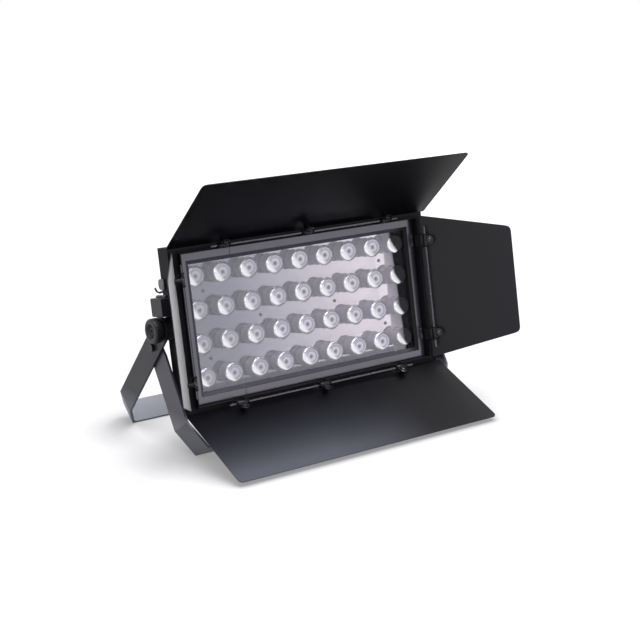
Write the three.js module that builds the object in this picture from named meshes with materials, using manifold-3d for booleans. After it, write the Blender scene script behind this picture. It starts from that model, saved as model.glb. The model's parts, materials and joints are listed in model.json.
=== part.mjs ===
// LED wash light: a panel of 36 lenses with four barn doors, hung in a double yoke that folds out
// as a floor stand. Millimetres, +X to the lamp's right-hand end, +Y back, +Z up.
import * as THREE from 'three';
import { mergeVertices } from 'three/addons/utils/BufferGeometryUtils.js';
import Module from 'manifold-3d';

const wasm = await Module();
wasm.setup();

// Fits and facets
const seatGap = 0.3;
const runGap = 0.35;
const cutOverrun = 1;
const bigSides = 18;
const roundSides = 10;
const smallSides = 6;
const cornerSteps = 3;
const wireSteps = 5;

// Lens field
const lensColumns = 9;
const lensRows = 4;
const lensColumnPitch = 52;
const lensRowPitch = 56.5;
const lensRimRadius = 17.8;
const lensRimHeight = 2.5;
const lensDishRadius = 15.6;
const lensDishDepth = 6.5;
const holderRadius = 16.2;
const lensHeight = 25;
const boardThickness = 1.6;
const boardHeight = 44;
const boardEnd = 28;
const plateThickness = 1.5;

// Glass, its gasket and the bezel that clamps them
const lensToGlass = 0.6;
const glassThickness = 3;
const glassLap = 6;
const glassPlay = 0.5;
const bezelMarginSide = 3.2;
const bezelMarginEdge = 9.7;
const bezelWidth = 12;
const bezelHeight = 7.4;
const bezelLip = 2;
const gasketNose = 6.2;
const gasketNoseRise = 0.5;
const gasketLipDrop = 0.7;

// Tray that holds the boards
const trayWall = 2;
const trayPlay = 3;
const trayPlatePlay = 2;
const ledgeLap = 3;

// Front frame that carries the barn doors
const frameGapSide = 2;
const frameGapEdge = 1;
const frameWidthSide = 19;
const frameWidthEdge = 12.8;
const frameWall = 2;
const framePlay = 0.5;
const frameRise = 11.4;
const frameLipRise = 9;
const frameDepth = 32;

// Barn-door hinges: a rod held by ears of the frame, with clips that turn on it
const rodRadius = 1.9;
const rodOut = 30;
const rodOffsetEdge = 3.9;
const rodOffsetSide = 6;
const rodOverhang = 25;
const earRadius = 4.6;
const earThickness = 2;
const earPlay = 1;
const earArcStartRadians = -0.7;
const earArcEndRadians = 2.9;
const clipWidth = 17;
const clipBarrelRadius = 4.2;
const clipTab = 2;
const clipScrewReach = 7;
const clipScrewRadius = 2.2;
const clipHeadRadius = 4.2;
const clipHeadHeight = 2.4;
const clipPostRadius = 4;
const clipNutHeight = 3;
const edgeClipSpan = 167;
const sideClipSpan = 84.5;

// Barn-door leaves
const leafThickness = 1.5;
const leafStandoff = 12;
const leafSetback = 10;
const leafCornerRadius = 9;
const leafInnerRadius = 3;
const edgeLeafLength = 172;
const edgeLeafHalfWidth = 266;
const sideLeafLength = 163;
const sideLeafInnerHalf = 129.5;
const sideLeafOuterHalf = 94.8;

// Heat sink and driver case
const sinkMarginSide = 25;
const sinkMarginEdge = 11;
const sinkBase = 5;
const finHeight = 28;
const finThickness = 2.4;
const finPitch = 8;
const caseHalfWidth = 112;
const caseHalfHeight = 82;
const caseDepth = 48;
const caseWall = 2;
const caseCorner = 8;
const caseBayPlay = 4;

// What the driver case holds
const supplyHalfWidth = 84;
const supplyHalfHeight = 50;
const supplyHeight = 26;
const supplyEdgeGap = 8;
const supplyCorner = 3;
const terminalHeight = 8;
const terminalReach = 9;
const controlHalfWidth = 64;
const controlHalfHeight = 20;
const controlEdgeGap = 38;
const controlBoard = 1.6;
const controlStand = 6;
const controlPostRadius = 2.5;
const controlPostInset = 5;
const displayWidth = 46;
const displayHeight = 18;
const displayCentreX = -30;
const displayRim = 2.5;
const displayRimHeight = 1.4;
const displayPlug = 3.4;
const buttonCount = 4;
const buttonPitch = 16;
const buttonFirstX = 10;
const buttonRadius = 4.5;
const buttonFlange = 1.6;
const buttonFlangeHeight = 1.4;
const buttonRise = 3;
const buttonDome = 0.8;
const socketCount = 4;
const socketEndGap = 43;
const socketEdgeGap = 32;
const socketPlateWidth = 26;
const socketPlateHeight = 31;
const socketPlateThickness = 2;
const socketBarrelRadius = 11.6;
const socketBoreRadius = 9;
const socketBoreDepth = 12;
const socketDepth = 20;
const socketKeyWidth = 3;
const pinRadius = 1.2;
const pinCircle = 4.4;
const pinHeight = 7;
const signalPins = 3;
const outletRecess = 1.2;
const contactDepth = 3;
const eyeThickness = 3;
const eyeRadius = 11;
const eyeHole = 6.5;
const eyeReach = 17;
const eyeFootWidth = 26;
const eyeFootHeight = 18;
const eyeFootThickness = 2;
const eyeCaseGap = 6;
const eyeNeckShare = 0.75;
const eyeArcHalfRadians = 2;

// Tilt pivot, its hubs and knobs
const pivotAbove = 7;
const pivotBehind = 12;
const pivotHeight = 206;
const headTiltDegrees = 11;
const hubRadius = 19;
const hubWidth = 12.4;
const knobRadius = 21;
const knobNeckRadius = 15;
const knobNeck = 3;
const knobWidth = 18;
const knobEdge = 2.5;
const knobDishRadius = 12.5;
const knobDishDepth = 5;
const knobCapRadius = 7;
const knobCapRise = 2.2;
const knobStudRadius = 5;
const knobStudReach = 9;

// Main yoke at the back and stand yoke at the front
const yokeThickness = 4;
const mainWidth = 43;
const mainLeanDegrees = 39.8;
const mainFoldIn = 19.5;
const mainFoldAlong = 43.5;
const standWidth = 48;
const standLeanDegrees = 33.6;
const standFoldIn = 23;
const standFoldAlong = 47.5;
const standBoltBack = 28;
const standBoltBelow = 36.5;
const standEndRadius = 19;
const standShoulder = 24;
const boltRadius = 4;
const boltHeadRadius = 7;
const boltHeadHeight = 4.5;
const clampHoleRadius = 6.5;
const clampSideHoleRadius = 5.5;
const clampHoleSpacing = 50;

// Brackets on the sides of the front frame and their spring clips
const bracketBelow = 29.5;
const bracketHeight = 30;
const bracketBehind = 18;
const bracketDepth = 35;
const bracketWidth = 25;
const bracketWall = 3;
const bracketEdge = 3;
const bracketBarRadius = 4;
const springFoot = 18;
const springFootAbove = 70;
const springFootBehind = 26;
const springFootThickness = 2.6;
const springWire = 1.7;
const springWireTensionShare = 0.1;
const springWireAbove = 66.5;
const springWireBehind = 12;
const springReach = 13;
const springTipRise = 9;
const springTipOut = 4;

// How far each leaf is swung out from straight ahead, and how near the bottom one comes to the floor
const topLeafDegrees = 34.3;
const bottomLeafFloorGap = 7.2;
const rightLeafDegrees = 41.7;
const leftLeafDegrees = 32.5;

// Distances out of the face, from the lens rims forward
const glassBack = lensToGlass;
const glassFront = glassBack + glassThickness;
const ledgeFront = glassBack - seatGap;
const bezelBack = ledgeFront + seatGap;
const bezelFront = bezelBack + bezelHeight;
const gasketBack = glassFront + seatGap;
const gasketFront = bezelFront - bezelLip - seatGap;
const frameBack = ledgeFront + seatGap;
const frameFront = frameBack + frameRise;
const frameLipFront = frameFront + frameLipRise;
const frameRear = frameFront - frameDepth;
const plateFront = -lensHeight;
const boardFront = plateFront - plateThickness - seatGap;
const boardBack = boardFront - boardThickness;
const trayFloor = boardBack - seatGap;
const trayBack = trayFloor - trayWall;
const sinkFront = trayBack - seatGap;
const sinkBack = sinkFront - sinkBase;
const caseFront = sinkBack - seatGap;
const caseBack = caseFront - caseDepth;

// Half sizes of the rectangles about the lens field, as [along X, along Z]
const lensField = [((lensColumns - 1) / 2) * lensColumnPitch, ((lensRows - 1) / 2) * lensRowPitch];
const bezelInner = [
  lensField[0] + lensRimRadius + bezelMarginSide,
  lensField[1] + lensRimRadius + bezelMarginEdge,
];
const bezelOuter = grown(bezelInner, bezelWidth);
const glassHalf = grown(bezelInner, glassLap);
const ledgeInner = grown(glassHalf, -ledgeLap);
const trayInner = grown(glassHalf, trayPlay);
const trayOuter = grown(trayInner, trayWall);
const frameInner = [bezelOuter[0] + frameGapSide, bezelOuter[1] + frameGapEdge];
const frameLipOuter = grown(frameInner, frameWall);
const frameOuter = [frameInner[0] + frameWidthSide, frameInner[1] + frameWidthEdge];
const frameSkirtInner = grown(frameOuter, -frameWall);
const ledgeOuter = grown(frameSkirtInner, -framePlay);
const sinkHalf = [trayOuter[0] - sinkMarginSide, trayOuter[1] - sinkMarginEdge];

// Places on the back of the driver case
const supplyRise = caseHalfHeight - caseWall - supplyEdgeGap - supplyHalfHeight;
const controlCentre = caseHalfHeight - controlEdgeGap;
const socketCentre = socketEdgeGap - caseHalfHeight;
const socketPitch = (2 * (caseHalfWidth - socketEndGap)) / (socketCount - 1);
const eyeCentre = caseHalfHeight + eyeCaseGap + eyeFootHeight / 2;

// Places along X at each end of the head
const hubStart = frameOuter[0] + seatGap;
const hubEnd = hubStart + hubWidth;
const mainInside = hubEnd + seatGap;
const mainOutside = mainInside + yokeThickness;
const standOutside = mainInside - seatGap;
const standInside = standOutside - yokeThickness;
const knobStart = mainOutside + seatGap;

// The four sides of the head that carry a door: turn about Y, reach of the rod and clip places
const sides = [
  { name: 'top', turn: 0, long: true, open: topLeafDegrees },
  { name: 'bottom', turn: 180, long: true, open: bottomLeafDegrees() },
  { name: 'right', turn: 90, long: false, open: rightLeafDegrees },
  { name: 'left', turn: -90, long: false, open: leftLeafDegrees },
];
for (const side of sides) {
  side.lipOuter = side.long ? frameLipOuter[1] : frameLipOuter[0];
  side.lipInner = side.lipOuter - frameWall;
  side.reach = side.lipOuter + (side.long ? rodOffsetEdge : rodOffsetSide);
  side.clips = side.long ? [-edgeClipSpan, 0, edgeClipSpan] : [-sideClipSpan, sideClipSpan];
}

function grown(half, by) {
  return [half[0] + by, half[1] + by];
}

function radians(degrees) {
  return THREE.MathUtils.degToRad(degrees);
}

// The bottom leaf opens until its outer corner is a small gap above the floor
function bottomLeafDegrees() {
  const tilt = radians(headTiltDegrees);
  const rodBehind = pivotBehind + rodOut;
  const rodBelow = pivotAbove + frameLipOuter[1] + rodOffsetEdge;
  const rodHeight = pivotHeight + rodBehind * Math.sin(tilt) - rodBelow * Math.cos(tilt);
  const reach = edgeLeafLength - leafSetback;
  const standoff = leafStandoff + leafThickness;
  const toCorner = Math.hypot(reach, standoff);
  const slope = Math.asin((rodHeight - bottomLeafFloorGap) / toCorner) - Math.atan2(standoff, reach);
  return THREE.MathUtils.radToDeg(slope) + headTiltDegrees;
}

// Solid helpers

function welded(geometry) {
  const bare = new THREE.BufferGeometry();
  bare.setAttribute('position', geometry.getAttribute('position').clone());
  if (geometry.index) {
    bare.setIndex(geometry.index.clone());
  }
  const merged = mergeVertices(bare);
  const from = merged.index.array;
  const kept = [];
  for (let i = 0; i < from.length; i += 3) {
    const [a, b, c] = [from[i], from[i + 1], from[i + 2]];
    if (a !== b && b !== c && c !== a) {
      kept.push(a, b, c);
    }
  }
  merged.setIndex(kept);
  return merged;
}

function signedVolume(geometry) {
  const place = geometry.getAttribute('position');
  const corners = geometry.index.array;
  const [a, b, c] = [new THREE.Vector3(), new THREE.Vector3(), new THREE.Vector3()];
  let sum = 0;
  for (let i = 0; i < corners.length; i += 3) {
    a.fromBufferAttribute(place, corners[i]);
    b.fromBufferAttribute(place, corners[i + 1]);
    c.fromBufferAttribute(place, corners[i + 2]);
    sum += a.dot(b.cross(c));
  }
  return sum;
}

function facingOut(geometry) {
  const body = welded(geometry);
  if (signedVolume(body) < 0) {
    const corners = Array.from(body.index.array);
    body.setIndex(corners.reverse());
  }
  return body;
}

function solidOf(geometry) {
  const body = facingOut(geometry);
  return new wasm.Manifold(new wasm.Mesh({
    numProp: 3,
    vertProperties: new Float32Array(body.getAttribute('position').array),
    triVerts: new Uint32Array(body.index.array),
  }));
}

function geometryOf(solid) {
  const mesh = solid.getMesh();
  const geometry = new THREE.BufferGeometry();
  geometry.setAttribute('position', new THREE.BufferAttribute(mesh.vertProperties, mesh.numProp));
  geometry.setIndex(new THREE.BufferAttribute(mesh.triVerts, 1));
  return geometry;
}

function joined(...pieces) {
  return geometryOf(pieces.map(solidOf).reduce((whole, piece) => whole.add(piece)));
}

function cut(base, ...tools) {
  return geometryOf(tools.map(solidOf).reduce((whole, tool) => whole.subtract(tool), solidOf(base)));
}

// Shapes and extrusions

function rectangle(halfWidth, halfHeight, centreX = 0, centreY = 0) {
  return new THREE.Shape([
    new THREE.Vector2(centreX - halfWidth, centreY - halfHeight),
    new THREE.Vector2(centreX + halfWidth, centreY - halfHeight),
    new THREE.Vector2(centreX + halfWidth, centreY + halfHeight),
    new THREE.Vector2(centreX - halfWidth, centreY + halfHeight),
  ]);
}

// A polygon whose corners are rounded, each by its own radius
function softPolygon(corners, radii) {
  const shape = new THREE.Shape();
  corners.forEach((corner, i) => {
    const before = corners[(i + corners.length - 1) % corners.length];
    const after = corners[(i + 1) % corners.length];
    const enter = corner.clone().add(before.clone().sub(corner).setLength(radii[i]));
    const leave = corner.clone().add(after.clone().sub(corner).setLength(radii[i]));
    if (i === 0) {
      shape.moveTo(enter.x, enter.y);
    } else {
      shape.lineTo(enter.x, enter.y);
    }
    shape.quadraticCurveTo(corner.x, corner.y, leave.x, leave.y);
  });
  shape.closePath();
  return shape;
}

function softRectangle(halfWidth, halfHeight, radius) {
  const corners = rectangle(halfWidth, halfHeight).getPoints().slice(0, 4);
  return softPolygon(corners, corners.map(() => radius));
}

function extruded(shape, depth) {
  return new THREE.ExtrudeGeometry(shape, { depth, bevelEnabled: false, curveSegments: cornerSteps });
}

// A plate parallel to the face, between two distances out of it
function facePlate(shape, back, front) {
  return extruded(shape, front - back).rotateX(Math.PI / 2).translate(0, -back, 0);
}

// A plate square to X, from a shape drawn in Y and Z
function endPlate(shape, from, to) {
  const turn = new THREE.Matrix4().makeBasis(
    new THREE.Vector3(0, 1, 0),
    new THREE.Vector3(0, 0, 1),
    new THREE.Vector3(1, 0, 0),
  );
  return extruded(shape, to - from).applyMatrix4(turn).translate(from, 0, 0);
}

function disc(radius, from, to, segments) {
  return new THREE.CylinderGeometry(radius, radius, to - from, segments).translate(0, (from + to) / 2, 0);
}

// A cylinder along X
function pinX(radius, from, to, segments = roundSides) {
  return disc(radius, from, to, segments).rotateZ(-Math.PI / 2);
}

// A cylinder out of the face
function pinOut(radius, back, front, segments = roundSides) {
  return disc(radius, back, front, segments).rotateX(Math.PI);
}

// The radius of a faceted hole that clears a faceted pin at any turn
function holeRadius(radius, gap, segments) {
  return radius / Math.cos(Math.PI / segments) + gap;
}

function revolved(profile, segments) {
  return new THREE.LatheGeometry(profile.map(([r, h]) => new THREE.Vector2(r, h)), segments);
}

// A section carried round a rectangle with mitred corners; each point is [half X, half Z, out]
function mitredFrame(section) {
  const corners = [[1, 1], [-1, 1], [-1, -1], [1, -1]];
  const places = [];
  const faces = [];
  for (const [halfX, halfZ, out] of section) {
    corners.forEach(([sx, sz]) => places.push(sx * halfX, -out, sz * halfZ));
  }
  section.forEach((_, i) => {
    const next = (i + 1) % section.length;
    corners.forEach((__, c) => {
      const d = (c + 1) % corners.length;
      const [a, b] = [i * corners.length + c, i * corners.length + d];
      const [e, f] = [next * corners.length + c, next * corners.length + d];
      faces.push(a, b, f, a, f, e);
    });
  });
  const geometry = new THREE.BufferGeometry();
  geometry.setAttribute('position', new THREE.Float32BufferAttribute(places, 3));
  geometry.setIndex(faces);
  return geometry;
}

// Optics

function lensHolder() {
  const foot = boardFront - boardThickness / 2;
  return revolved([
    [0, foot],
    [holderRadius, foot],
    [holderRadius, -lensRimHeight],
    [lensRimRadius, -lensRimHeight],
    [lensRimRadius, 0],
    [lensDishRadius, 0],
    [0, -lensDishDepth],
  ], roundSides).rotateX(Math.PI);
}

function columnPlaces() {
  return Array.from({ length: lensColumns }, (_, i) => i * lensColumnPitch - lensField[0]);
}

function rowPlaces() {
  return Array.from({ length: lensRows }, (_, i) => lensField[1] - i * lensRowPitch);
}

function ledRow() {
  const board = facePlate(rectangle(lensField[0] + boardEnd, boardHeight / 2), boardBack, boardFront);
  const holders = columnPlaces().map((x) => lensHolder().translate(x, 0, 0));
  return joined(board, ...holders);
}

function reflectorPlate() {
  const shape = rectangle(trayInner[0] - trayPlatePlay, trayInner[1] - trayPlatePlay);
  const radius = holeRadius(holderRadius, runGap, roundSides);
  for (const z of rowPlaces()) {
    for (const x of columnPlaces()) {
      const ring = Array.from({ length: roundSides }, (_, i) => {
        const angle = (2 * Math.PI * i) / roundSides;
        return new THREE.Vector2(x + radius * Math.cos(angle), z + radius * Math.sin(angle));
      });
      shape.holes.push(new THREE.Path(ring));
    }
  }
  return facePlate(shape, plateFront - plateThickness, plateFront);
}

// Glass, gasket and bezel

function glass() {
  return facePlate(rectangle(...glassHalf), glassBack, glassFront);
}

function gasket() {
  const nose = grown(bezelInner, -gasketNose);
  const step = grown(bezelInner, -seatGap);
  const outer = grown(glassHalf, -glassPlay);
  return mitredFrame([
    [...outer, gasketBack],
    [...outer, gasketFront],
    [...step, gasketFront],
    [...step, bezelFront - gasketLipDrop],
    [...nose, gasketBack + gasketNoseRise],
    [...nose, gasketBack],
  ]);
}

function bezel() {
  const pocket = grown(glassHalf, glassPlay);
  return mitredFrame([
    [...bezelOuter, bezelBack],
    [...bezelOuter, bezelFront],
    [...bezelInner, bezelFront],
    [...bezelInner, bezelFront - bezelLip],
    [...pocket, bezelFront - bezelLip],
    [...pocket, bezelBack],
  ]);
}

// Tray and front frame

function tray() {
  const rim = mitredFrame([
    [...ledgeOuter, ledgeFront],
    [...ledgeInner, ledgeFront],
    [...ledgeInner, ledgeFront - trayWall],
    [...trayInner, ledgeFront - trayWall],
    [...trayInner, trayBack + trayWall / 2],
    [...trayOuter, trayBack + trayWall / 2],
    [...trayOuter, ledgeFront - trayWall],
    [...ledgeOuter, ledgeFront - trayWall],
  ]);
  return joined(rim, facePlate(rectangle(...trayOuter), trayBack, trayFloor));
}

function frameRing() {
  return mitredFrame([
    [...frameOuter, frameRear],
    [...frameOuter, frameFront],
    [...frameLipOuter, frameFront],
    [...frameLipOuter, frameLipFront],
    [...frameInner, frameLipFront],
    [...frameInner, frameBack],
    [...frameLipOuter, frameBack],
    [...frameLipOuter, frameFront - frameWall],
    [...frameSkirtInner, frameFront - frameWall],
    [...frameSkirtInner, frameRear],
  ]);
}

// A hinge ear, drawn in the outward and forward directions of its side
function earShape(side) {
  const shape = new THREE.Shape();
  shape.moveTo(side.lipInner, frameFront);
  shape.lineTo(side.lipOuter, frameFront);
  shape.lineTo(side.lipOuter, frameLipFront);
  shape.absarc(side.reach, rodOut, earRadius, earArcStartRadians, earArcEndRadians, false);
  shape.lineTo(side.lipInner, frameLipFront);
  shape.closePath();
  return shape;
}

// Turns a shape drawn in (outward, forward) into a plate square to X, in the frame of the top side
function hingePlate(shape, from, to) {
  const turn = new THREE.Matrix4().makeBasis(
    new THREE.Vector3(0, 0, 1),
    new THREE.Vector3(0, -1, 0),
    new THREE.Vector3(1, 0, 0),
  );
  return extruded(shape, to - from).applyMatrix4(turn).translate(from, 0, 0);
}

function rodBore(side, from, to) {
  const radius = holeRadius(rodRadius, seatGap, smallSides);
  return pinX(radius, from, to, smallSides).translate(0, -rodOut, side.reach);
}

function frontFrame() {
  const ears = [];
  const notches = [];
  const bores = [];
  const half = clipWidth / 2 + earPlay;
  for (const side of sides) {
    const turn = (geometry) => geometry.rotateY(radians(side.turn));
    const notchHalf = (frameWall + 2 * cutOverrun) / 2;
    const notchCentre = side.lipOuter - frameWall / 2;
    for (const place of side.clips) {
      const notch = facePlate(rectangle(half, notchHalf), frameFront, frameLipFront + cutOverrun);
      notches.push(turn(notch.translate(place, 0, notchCentre)));
      for (const inner of [place - half - earThickness, place + half]) {
        ears.push(turn(hingePlate(earShape(side), inner, inner + earThickness)));
        const bore = rodBore(side, inner - cutOverrun, inner + earThickness + cutOverrun);
        bores.push(turn(bore));
      }
    }
  }
  return cut(joined(frameRing(), ...ears), ...notches, ...bores);
}

// Barn-door parts, drawn with the rod on the X axis and the leaf straight ahead along -Y

function hingeRod(side) {
  const half = side.clips[side.clips.length - 1] + rodOverhang;
  return facingOut(pinX(rodRadius, -half, half, smallSides));
}

function leaf(side) {
  const length = side.long ? edgeLeafLength : sideLeafLength;
  const innerHalf = side.long ? edgeLeafHalfWidth : sideLeafInnerHalf;
  const outerHalf = side.long ? edgeLeafHalfWidth : sideLeafOuterHalf;
  const corners = [
    new THREE.Vector2(innerHalf, leafSetback),
    new THREE.Vector2(-innerHalf, leafSetback),
    new THREE.Vector2(-outerHalf, leafSetback - length),
    new THREE.Vector2(outerHalf, leafSetback - length),
  ];
  const radii = [leafInnerRadius, leafInnerRadius, leafCornerRadius, leafCornerRadius];
  const sheet = extruded(softPolygon(corners, radii), leafThickness).translate(0, 0, leafStandoff);
  const hole = clipScrewRadius + seatGap;
  const from = leafStandoff - cutOverrun;
  const to = leafStandoff + leafThickness + cutOverrun;
  const holes = side.clips.map((x) => uprightPin(hole, from, to, x));
  return cut(sheet, ...holes);
}

// A cylinder square to the leaf, at the clip's screw
function uprightPin(radius, from, to, x = 0, segments = smallSides) {
  return disc(radius, from, to, segments).rotateX(Math.PI / 2).translate(x, -clipScrewReach, 0);
}

function hingeClip() {
  const half = clipWidth / 2;
  const tabShape = new THREE.Shape();
  tabShape.moveTo(-half, 0);
  tabShape.lineTo(-half, -clipScrewReach);
  tabShape.absarc(0, -clipScrewReach, half, Math.PI, 2 * Math.PI, false);
  tabShape.lineTo(half, 0);
  tabShape.closePath();
  const tab = extruded(tabShape, clipTab).translate(0, 0, -clipTab / 2);
  const barrel = pinX(clipBarrelRadius, -half, half, roundSides);
  const seat = leafStandoff - seatGap;
  const nutSeat = leafStandoff + leafThickness + seatGap;
  const nutTop = nutSeat + clipNutHeight;
  const post = uprightPin(clipPostRadius, 0, seat);
  const screw = uprightPin(clipScrewRadius, 0, nutTop);
  const nut = uprightPin(clipPostRadius, nutSeat, nutTop);
  const head = uprightPin(clipHeadRadius, -clipTab / 2 - clipHeadHeight, 0);
  const bore = pinX(holeRadius(rodRadius, seatGap, smallSides), -clipWidth, clipWidth, smallSides);
  return cut(joined(tab, barrel, post, screw, nut, head), bore);
}

// Heat sink and driver case

function heatSink() {
  const half = sinkHalf[0];
  const bay = caseHalfWidth + caseBayPlay;
  const count = Math.floor((half - bay - finThickness) / finPitch) + 1;
  const fins = [];
  for (let i = 0; i < count; i += 1) {
    const outer = half - i * finPitch;
    fins.push([-outer, finThickness - outer], [outer - finThickness, outer]);
  }
  fins.sort((a, b) => a[0] - b[0]);
  const shape = new THREE.Shape();
  shape.moveTo(-half, -sinkFront);
  for (const [from, to] of fins) {
    shape.lineTo(from, -sinkBack);
    shape.lineTo(from, finHeight - sinkBack);
    shape.lineTo(to, finHeight - sinkBack);
    shape.lineTo(to, -sinkBack);
  }
  shape.lineTo(half, -sinkFront);
  shape.closePath();
  return facingOut(extruded(shape, 2 * sinkHalf[1]).translate(0, 0, -sinkHalf[1]));
}

function buttonPlaces() {
  return Array.from({ length: buttonCount }, (_, i) => buttonFirstX + i * buttonPitch);
}

function socketPlaces() {
  return Array.from({ length: socketCount }, (_, i) => (i - (socketCount - 1) / 2) * socketPitch);
}

function driverCase() {
  const outer = softRectangle(caseHalfWidth, caseHalfHeight, caseCorner);
  const shell = facePlate(outer, caseBack, caseFront);
  const inner = softRectangle(caseHalfWidth - caseWall, caseHalfHeight - caseWall, caseCorner - caseWall);
  const hollow = facePlate(inner, caseBack + caseWall, caseFront + cutOverrun);
  const from = caseBack - cutOverrun;
  const to = caseBack + caseWall + cutOverrun;
  const window = facePlate(
    rectangle(displayWidth / 2 + seatGap, displayHeight / 2 + seatGap, displayCentreX, controlCentre),
    from,
    to,
  );
  const buttonHole = holeRadius(buttonRadius, seatGap, roundSides);
  const buttonHoles = buttonPlaces().map((x) => pinOut(buttonHole, from, to).translate(x, 0, controlCentre));
  const socketHole = holeRadius(socketBarrelRadius, seatGap, roundSides);
  const socketHoles = socketPlaces().map((x) => pinOut(socketHole, from, to).translate(x, 0, socketCentre));
  return cut(shell, hollow, window, ...buttonHoles, ...socketHoles);
}

function powerSupply() {
  const back = caseFront - supplyHeight;
  const body = facePlate(softRectangle(supplyHalfWidth, supplyHalfHeight, supplyCorner), back, caseFront);
  const strip = facePlate(
    rectangle(supplyHalfWidth / 2, terminalReach / 2, 0, -supplyHalfHeight - terminalReach / 2 + seatGap),
    caseFront - terminalHeight,
    caseFront,
  );
  return joined(body, strip);
}

function controlUnit() {
  const postBack = caseBack + caseWall + seatGap;
  const boardBackFace = postBack + controlStand;
  const board = facePlate(
    rectangle(controlHalfWidth, controlHalfHeight),
    boardBackFace,
    boardBackFace + controlBoard,
  );
  const reachX = controlHalfWidth - controlPostInset;
  const reachZ = controlHalfHeight - controlPostInset;
  const posts = [[1, 1], [-1, 1], [-1, -1], [1, -1]].map(([sx, sz]) => (
    pinOut(controlPostRadius, postBack, boardBackFace + controlBoard / 2, smallSides)
      .translate(sx * reachX, 0, sz * reachZ)
  ));
  return joined(board, ...posts);
}

function displayWindow() {
  const outside = caseBack - seatGap;
  const rim = facePlate(
    softRectangle(displayWidth / 2 + displayRim, displayHeight / 2 + displayRim, displayRim),
    outside - displayRimHeight,
    outside,
  );
  const plug = facePlate(
    rectangle(displayWidth / 2, displayHeight / 2),
    outside - displayRimHeight / 2,
    outside + displayPlug,
  );
  return joined(rim, plug);
}

function pushButton() {
  const flangeBack = caseBack + caseWall + seatGap;
  const tip = caseBack - buttonRise;
  return facingOut(revolved([
    [0, tip],
    [buttonRadius - buttonDome, tip],
    [buttonRadius, tip + buttonDome],
    [buttonRadius, flangeBack],
    [buttonRadius + buttonFlange, flangeBack],
    [buttonRadius + buttonFlange, flangeBack + buttonFlangeHeight],
    [0, flangeBack + buttonFlangeHeight],
  ], roundSides).rotateX(Math.PI));
}

// A round socket with its square mounting plate; the fitting inside tells the four apart
function socketBody(boreDepth) {
  const outside = caseBack - seatGap;
  const face = outside - socketPlateThickness;
  const plate = facePlate(
    softRectangle(socketPlateWidth / 2, socketPlateHeight / 2, socketKeyWidth),
    face,
    outside,
  );
  const barrel = pinOut(socketBarrelRadius, outside - socketPlateThickness / 2, caseBack + socketDepth);
  const bore = pinOut(socketBoreRadius, face - cutOverrun, face + boreDepth);
  return cut(joined(plate, barrel), bore);
}

function pinCirclePlaces(count) {
  return Array.from({ length: count }, (_, i) => {
    const angle = Math.PI / 2 + (2 * Math.PI * (i + 1 / 2)) / count;
    return [pinCircle * Math.cos(angle), pinCircle * Math.sin(angle)];
  });
}

function powerSocket(keyTurn) {
  const face = caseBack - seatGap - socketPlateThickness;
  const floor = face + socketBoreDepth;
  const key = facePlate(
    rectangle(socketKeyWidth / 2, socketKeyWidth / 2, socketBoreRadius - socketKeyWidth / 4, 0),
    face + socketKeyWidth,
    floor + cutOverrun,
  ).rotateY(radians(keyTurn));
  const core = pinOut(pinCircle, floor - pinHeight, floor + cutOverrun, smallSides);
  return joined(socketBody(socketBoreDepth), key, core);
}

function signalInlet() {
  const floor = caseBack - seatGap - socketPlateThickness + socketBoreDepth;
  const pins = pinCirclePlaces(signalPins).map(([x, z]) => (
    pinOut(pinRadius, floor - pinHeight, floor + cutOverrun, smallSides).translate(x, 0, z)
  ));
  return joined(socketBody(socketBoreDepth), ...pins);
}

function signalOutlet() {
  const face = caseBack - seatGap - socketPlateThickness;
  const holes = pinCirclePlaces(signalPins).map(([x, z]) => (
    pinOut(pinRadius + seatGap, face, face + outletRecess + contactDepth, smallSides).translate(x, 0, z)
  ));
  return cut(socketBody(outletRecess), ...holes);
}

function safetyEye() {
  const seat = caseFront;
  const foot = facePlate(
    rectangle(eyeFootWidth / 2, eyeFootHeight / 2, 0, eyeCentre),
    seat - eyeFootThickness,
    seat,
  );
  const shape = new THREE.Shape();
  const eyeY = eyeReach - seat;
  shape.moveTo(-seat + eyeFootThickness / 2, eyeCentre + eyeRadius * eyeNeckShare);
  shape.lineTo(-seat + eyeFootThickness / 2, eyeCentre - eyeRadius * eyeNeckShare);
  shape.absarc(eyeY, eyeCentre, eyeRadius, -eyeArcHalfRadians, eyeArcHalfRadians, false);
  shape.closePath();
  const lug = endPlate(shape, -eyeThickness / 2, eyeThickness / 2);
  const hole = pinX(eyeHole, -eyeThickness, eyeThickness).translate(0, eyeY, eyeCentre);
  return cut(joined(foot, lug), hole);
}

// Pivot parts

function hub(side) {
  const bore = holeRadius(knobStudRadius, seatGap, roundSides);
  const ring = pinX(hubRadius, hubStart, hubEnd, bigSides);
  const hole = pinX(bore, hubStart - cutOverrun, hubEnd + cutOverrun);
  return side > 0 ? cut(ring, hole) : cut(ring, hole).rotateZ(Math.PI);
}

function knob(side) {
  const end = knobStart + knobWidth;
  const turn = (-side * Math.PI) / 2;
  return facingOut(revolved([
    [0, knobStart - yokeThickness - knobStudReach],
    [knobStudRadius, knobStart - yokeThickness - knobStudReach],
    [knobStudRadius, knobStart],
    [knobNeckRadius, knobStart],
    [knobNeckRadius, knobStart + knobNeck],
    [knobRadius - knobEdge, knobStart + knobNeck],
    [knobRadius, knobStart + knobNeck + knobEdge],
    [knobRadius, end - knobEdge],
    [knobRadius - knobEdge, end],
    [knobDishRadius, end],
    [knobDishRadius - knobEdge, end - knobDishDepth],
    [knobCapRadius, end - knobDishDepth],
    [knobCapRadius, end - knobDishDepth + knobCapRise],
    [0, end - knobDishDepth + knobCapRise],
  ], bigSides).rotateZ(turn));
}

// Yokes: a flat strip bent to a U, drawn with its arms up from the cross bar along +Z

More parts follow.
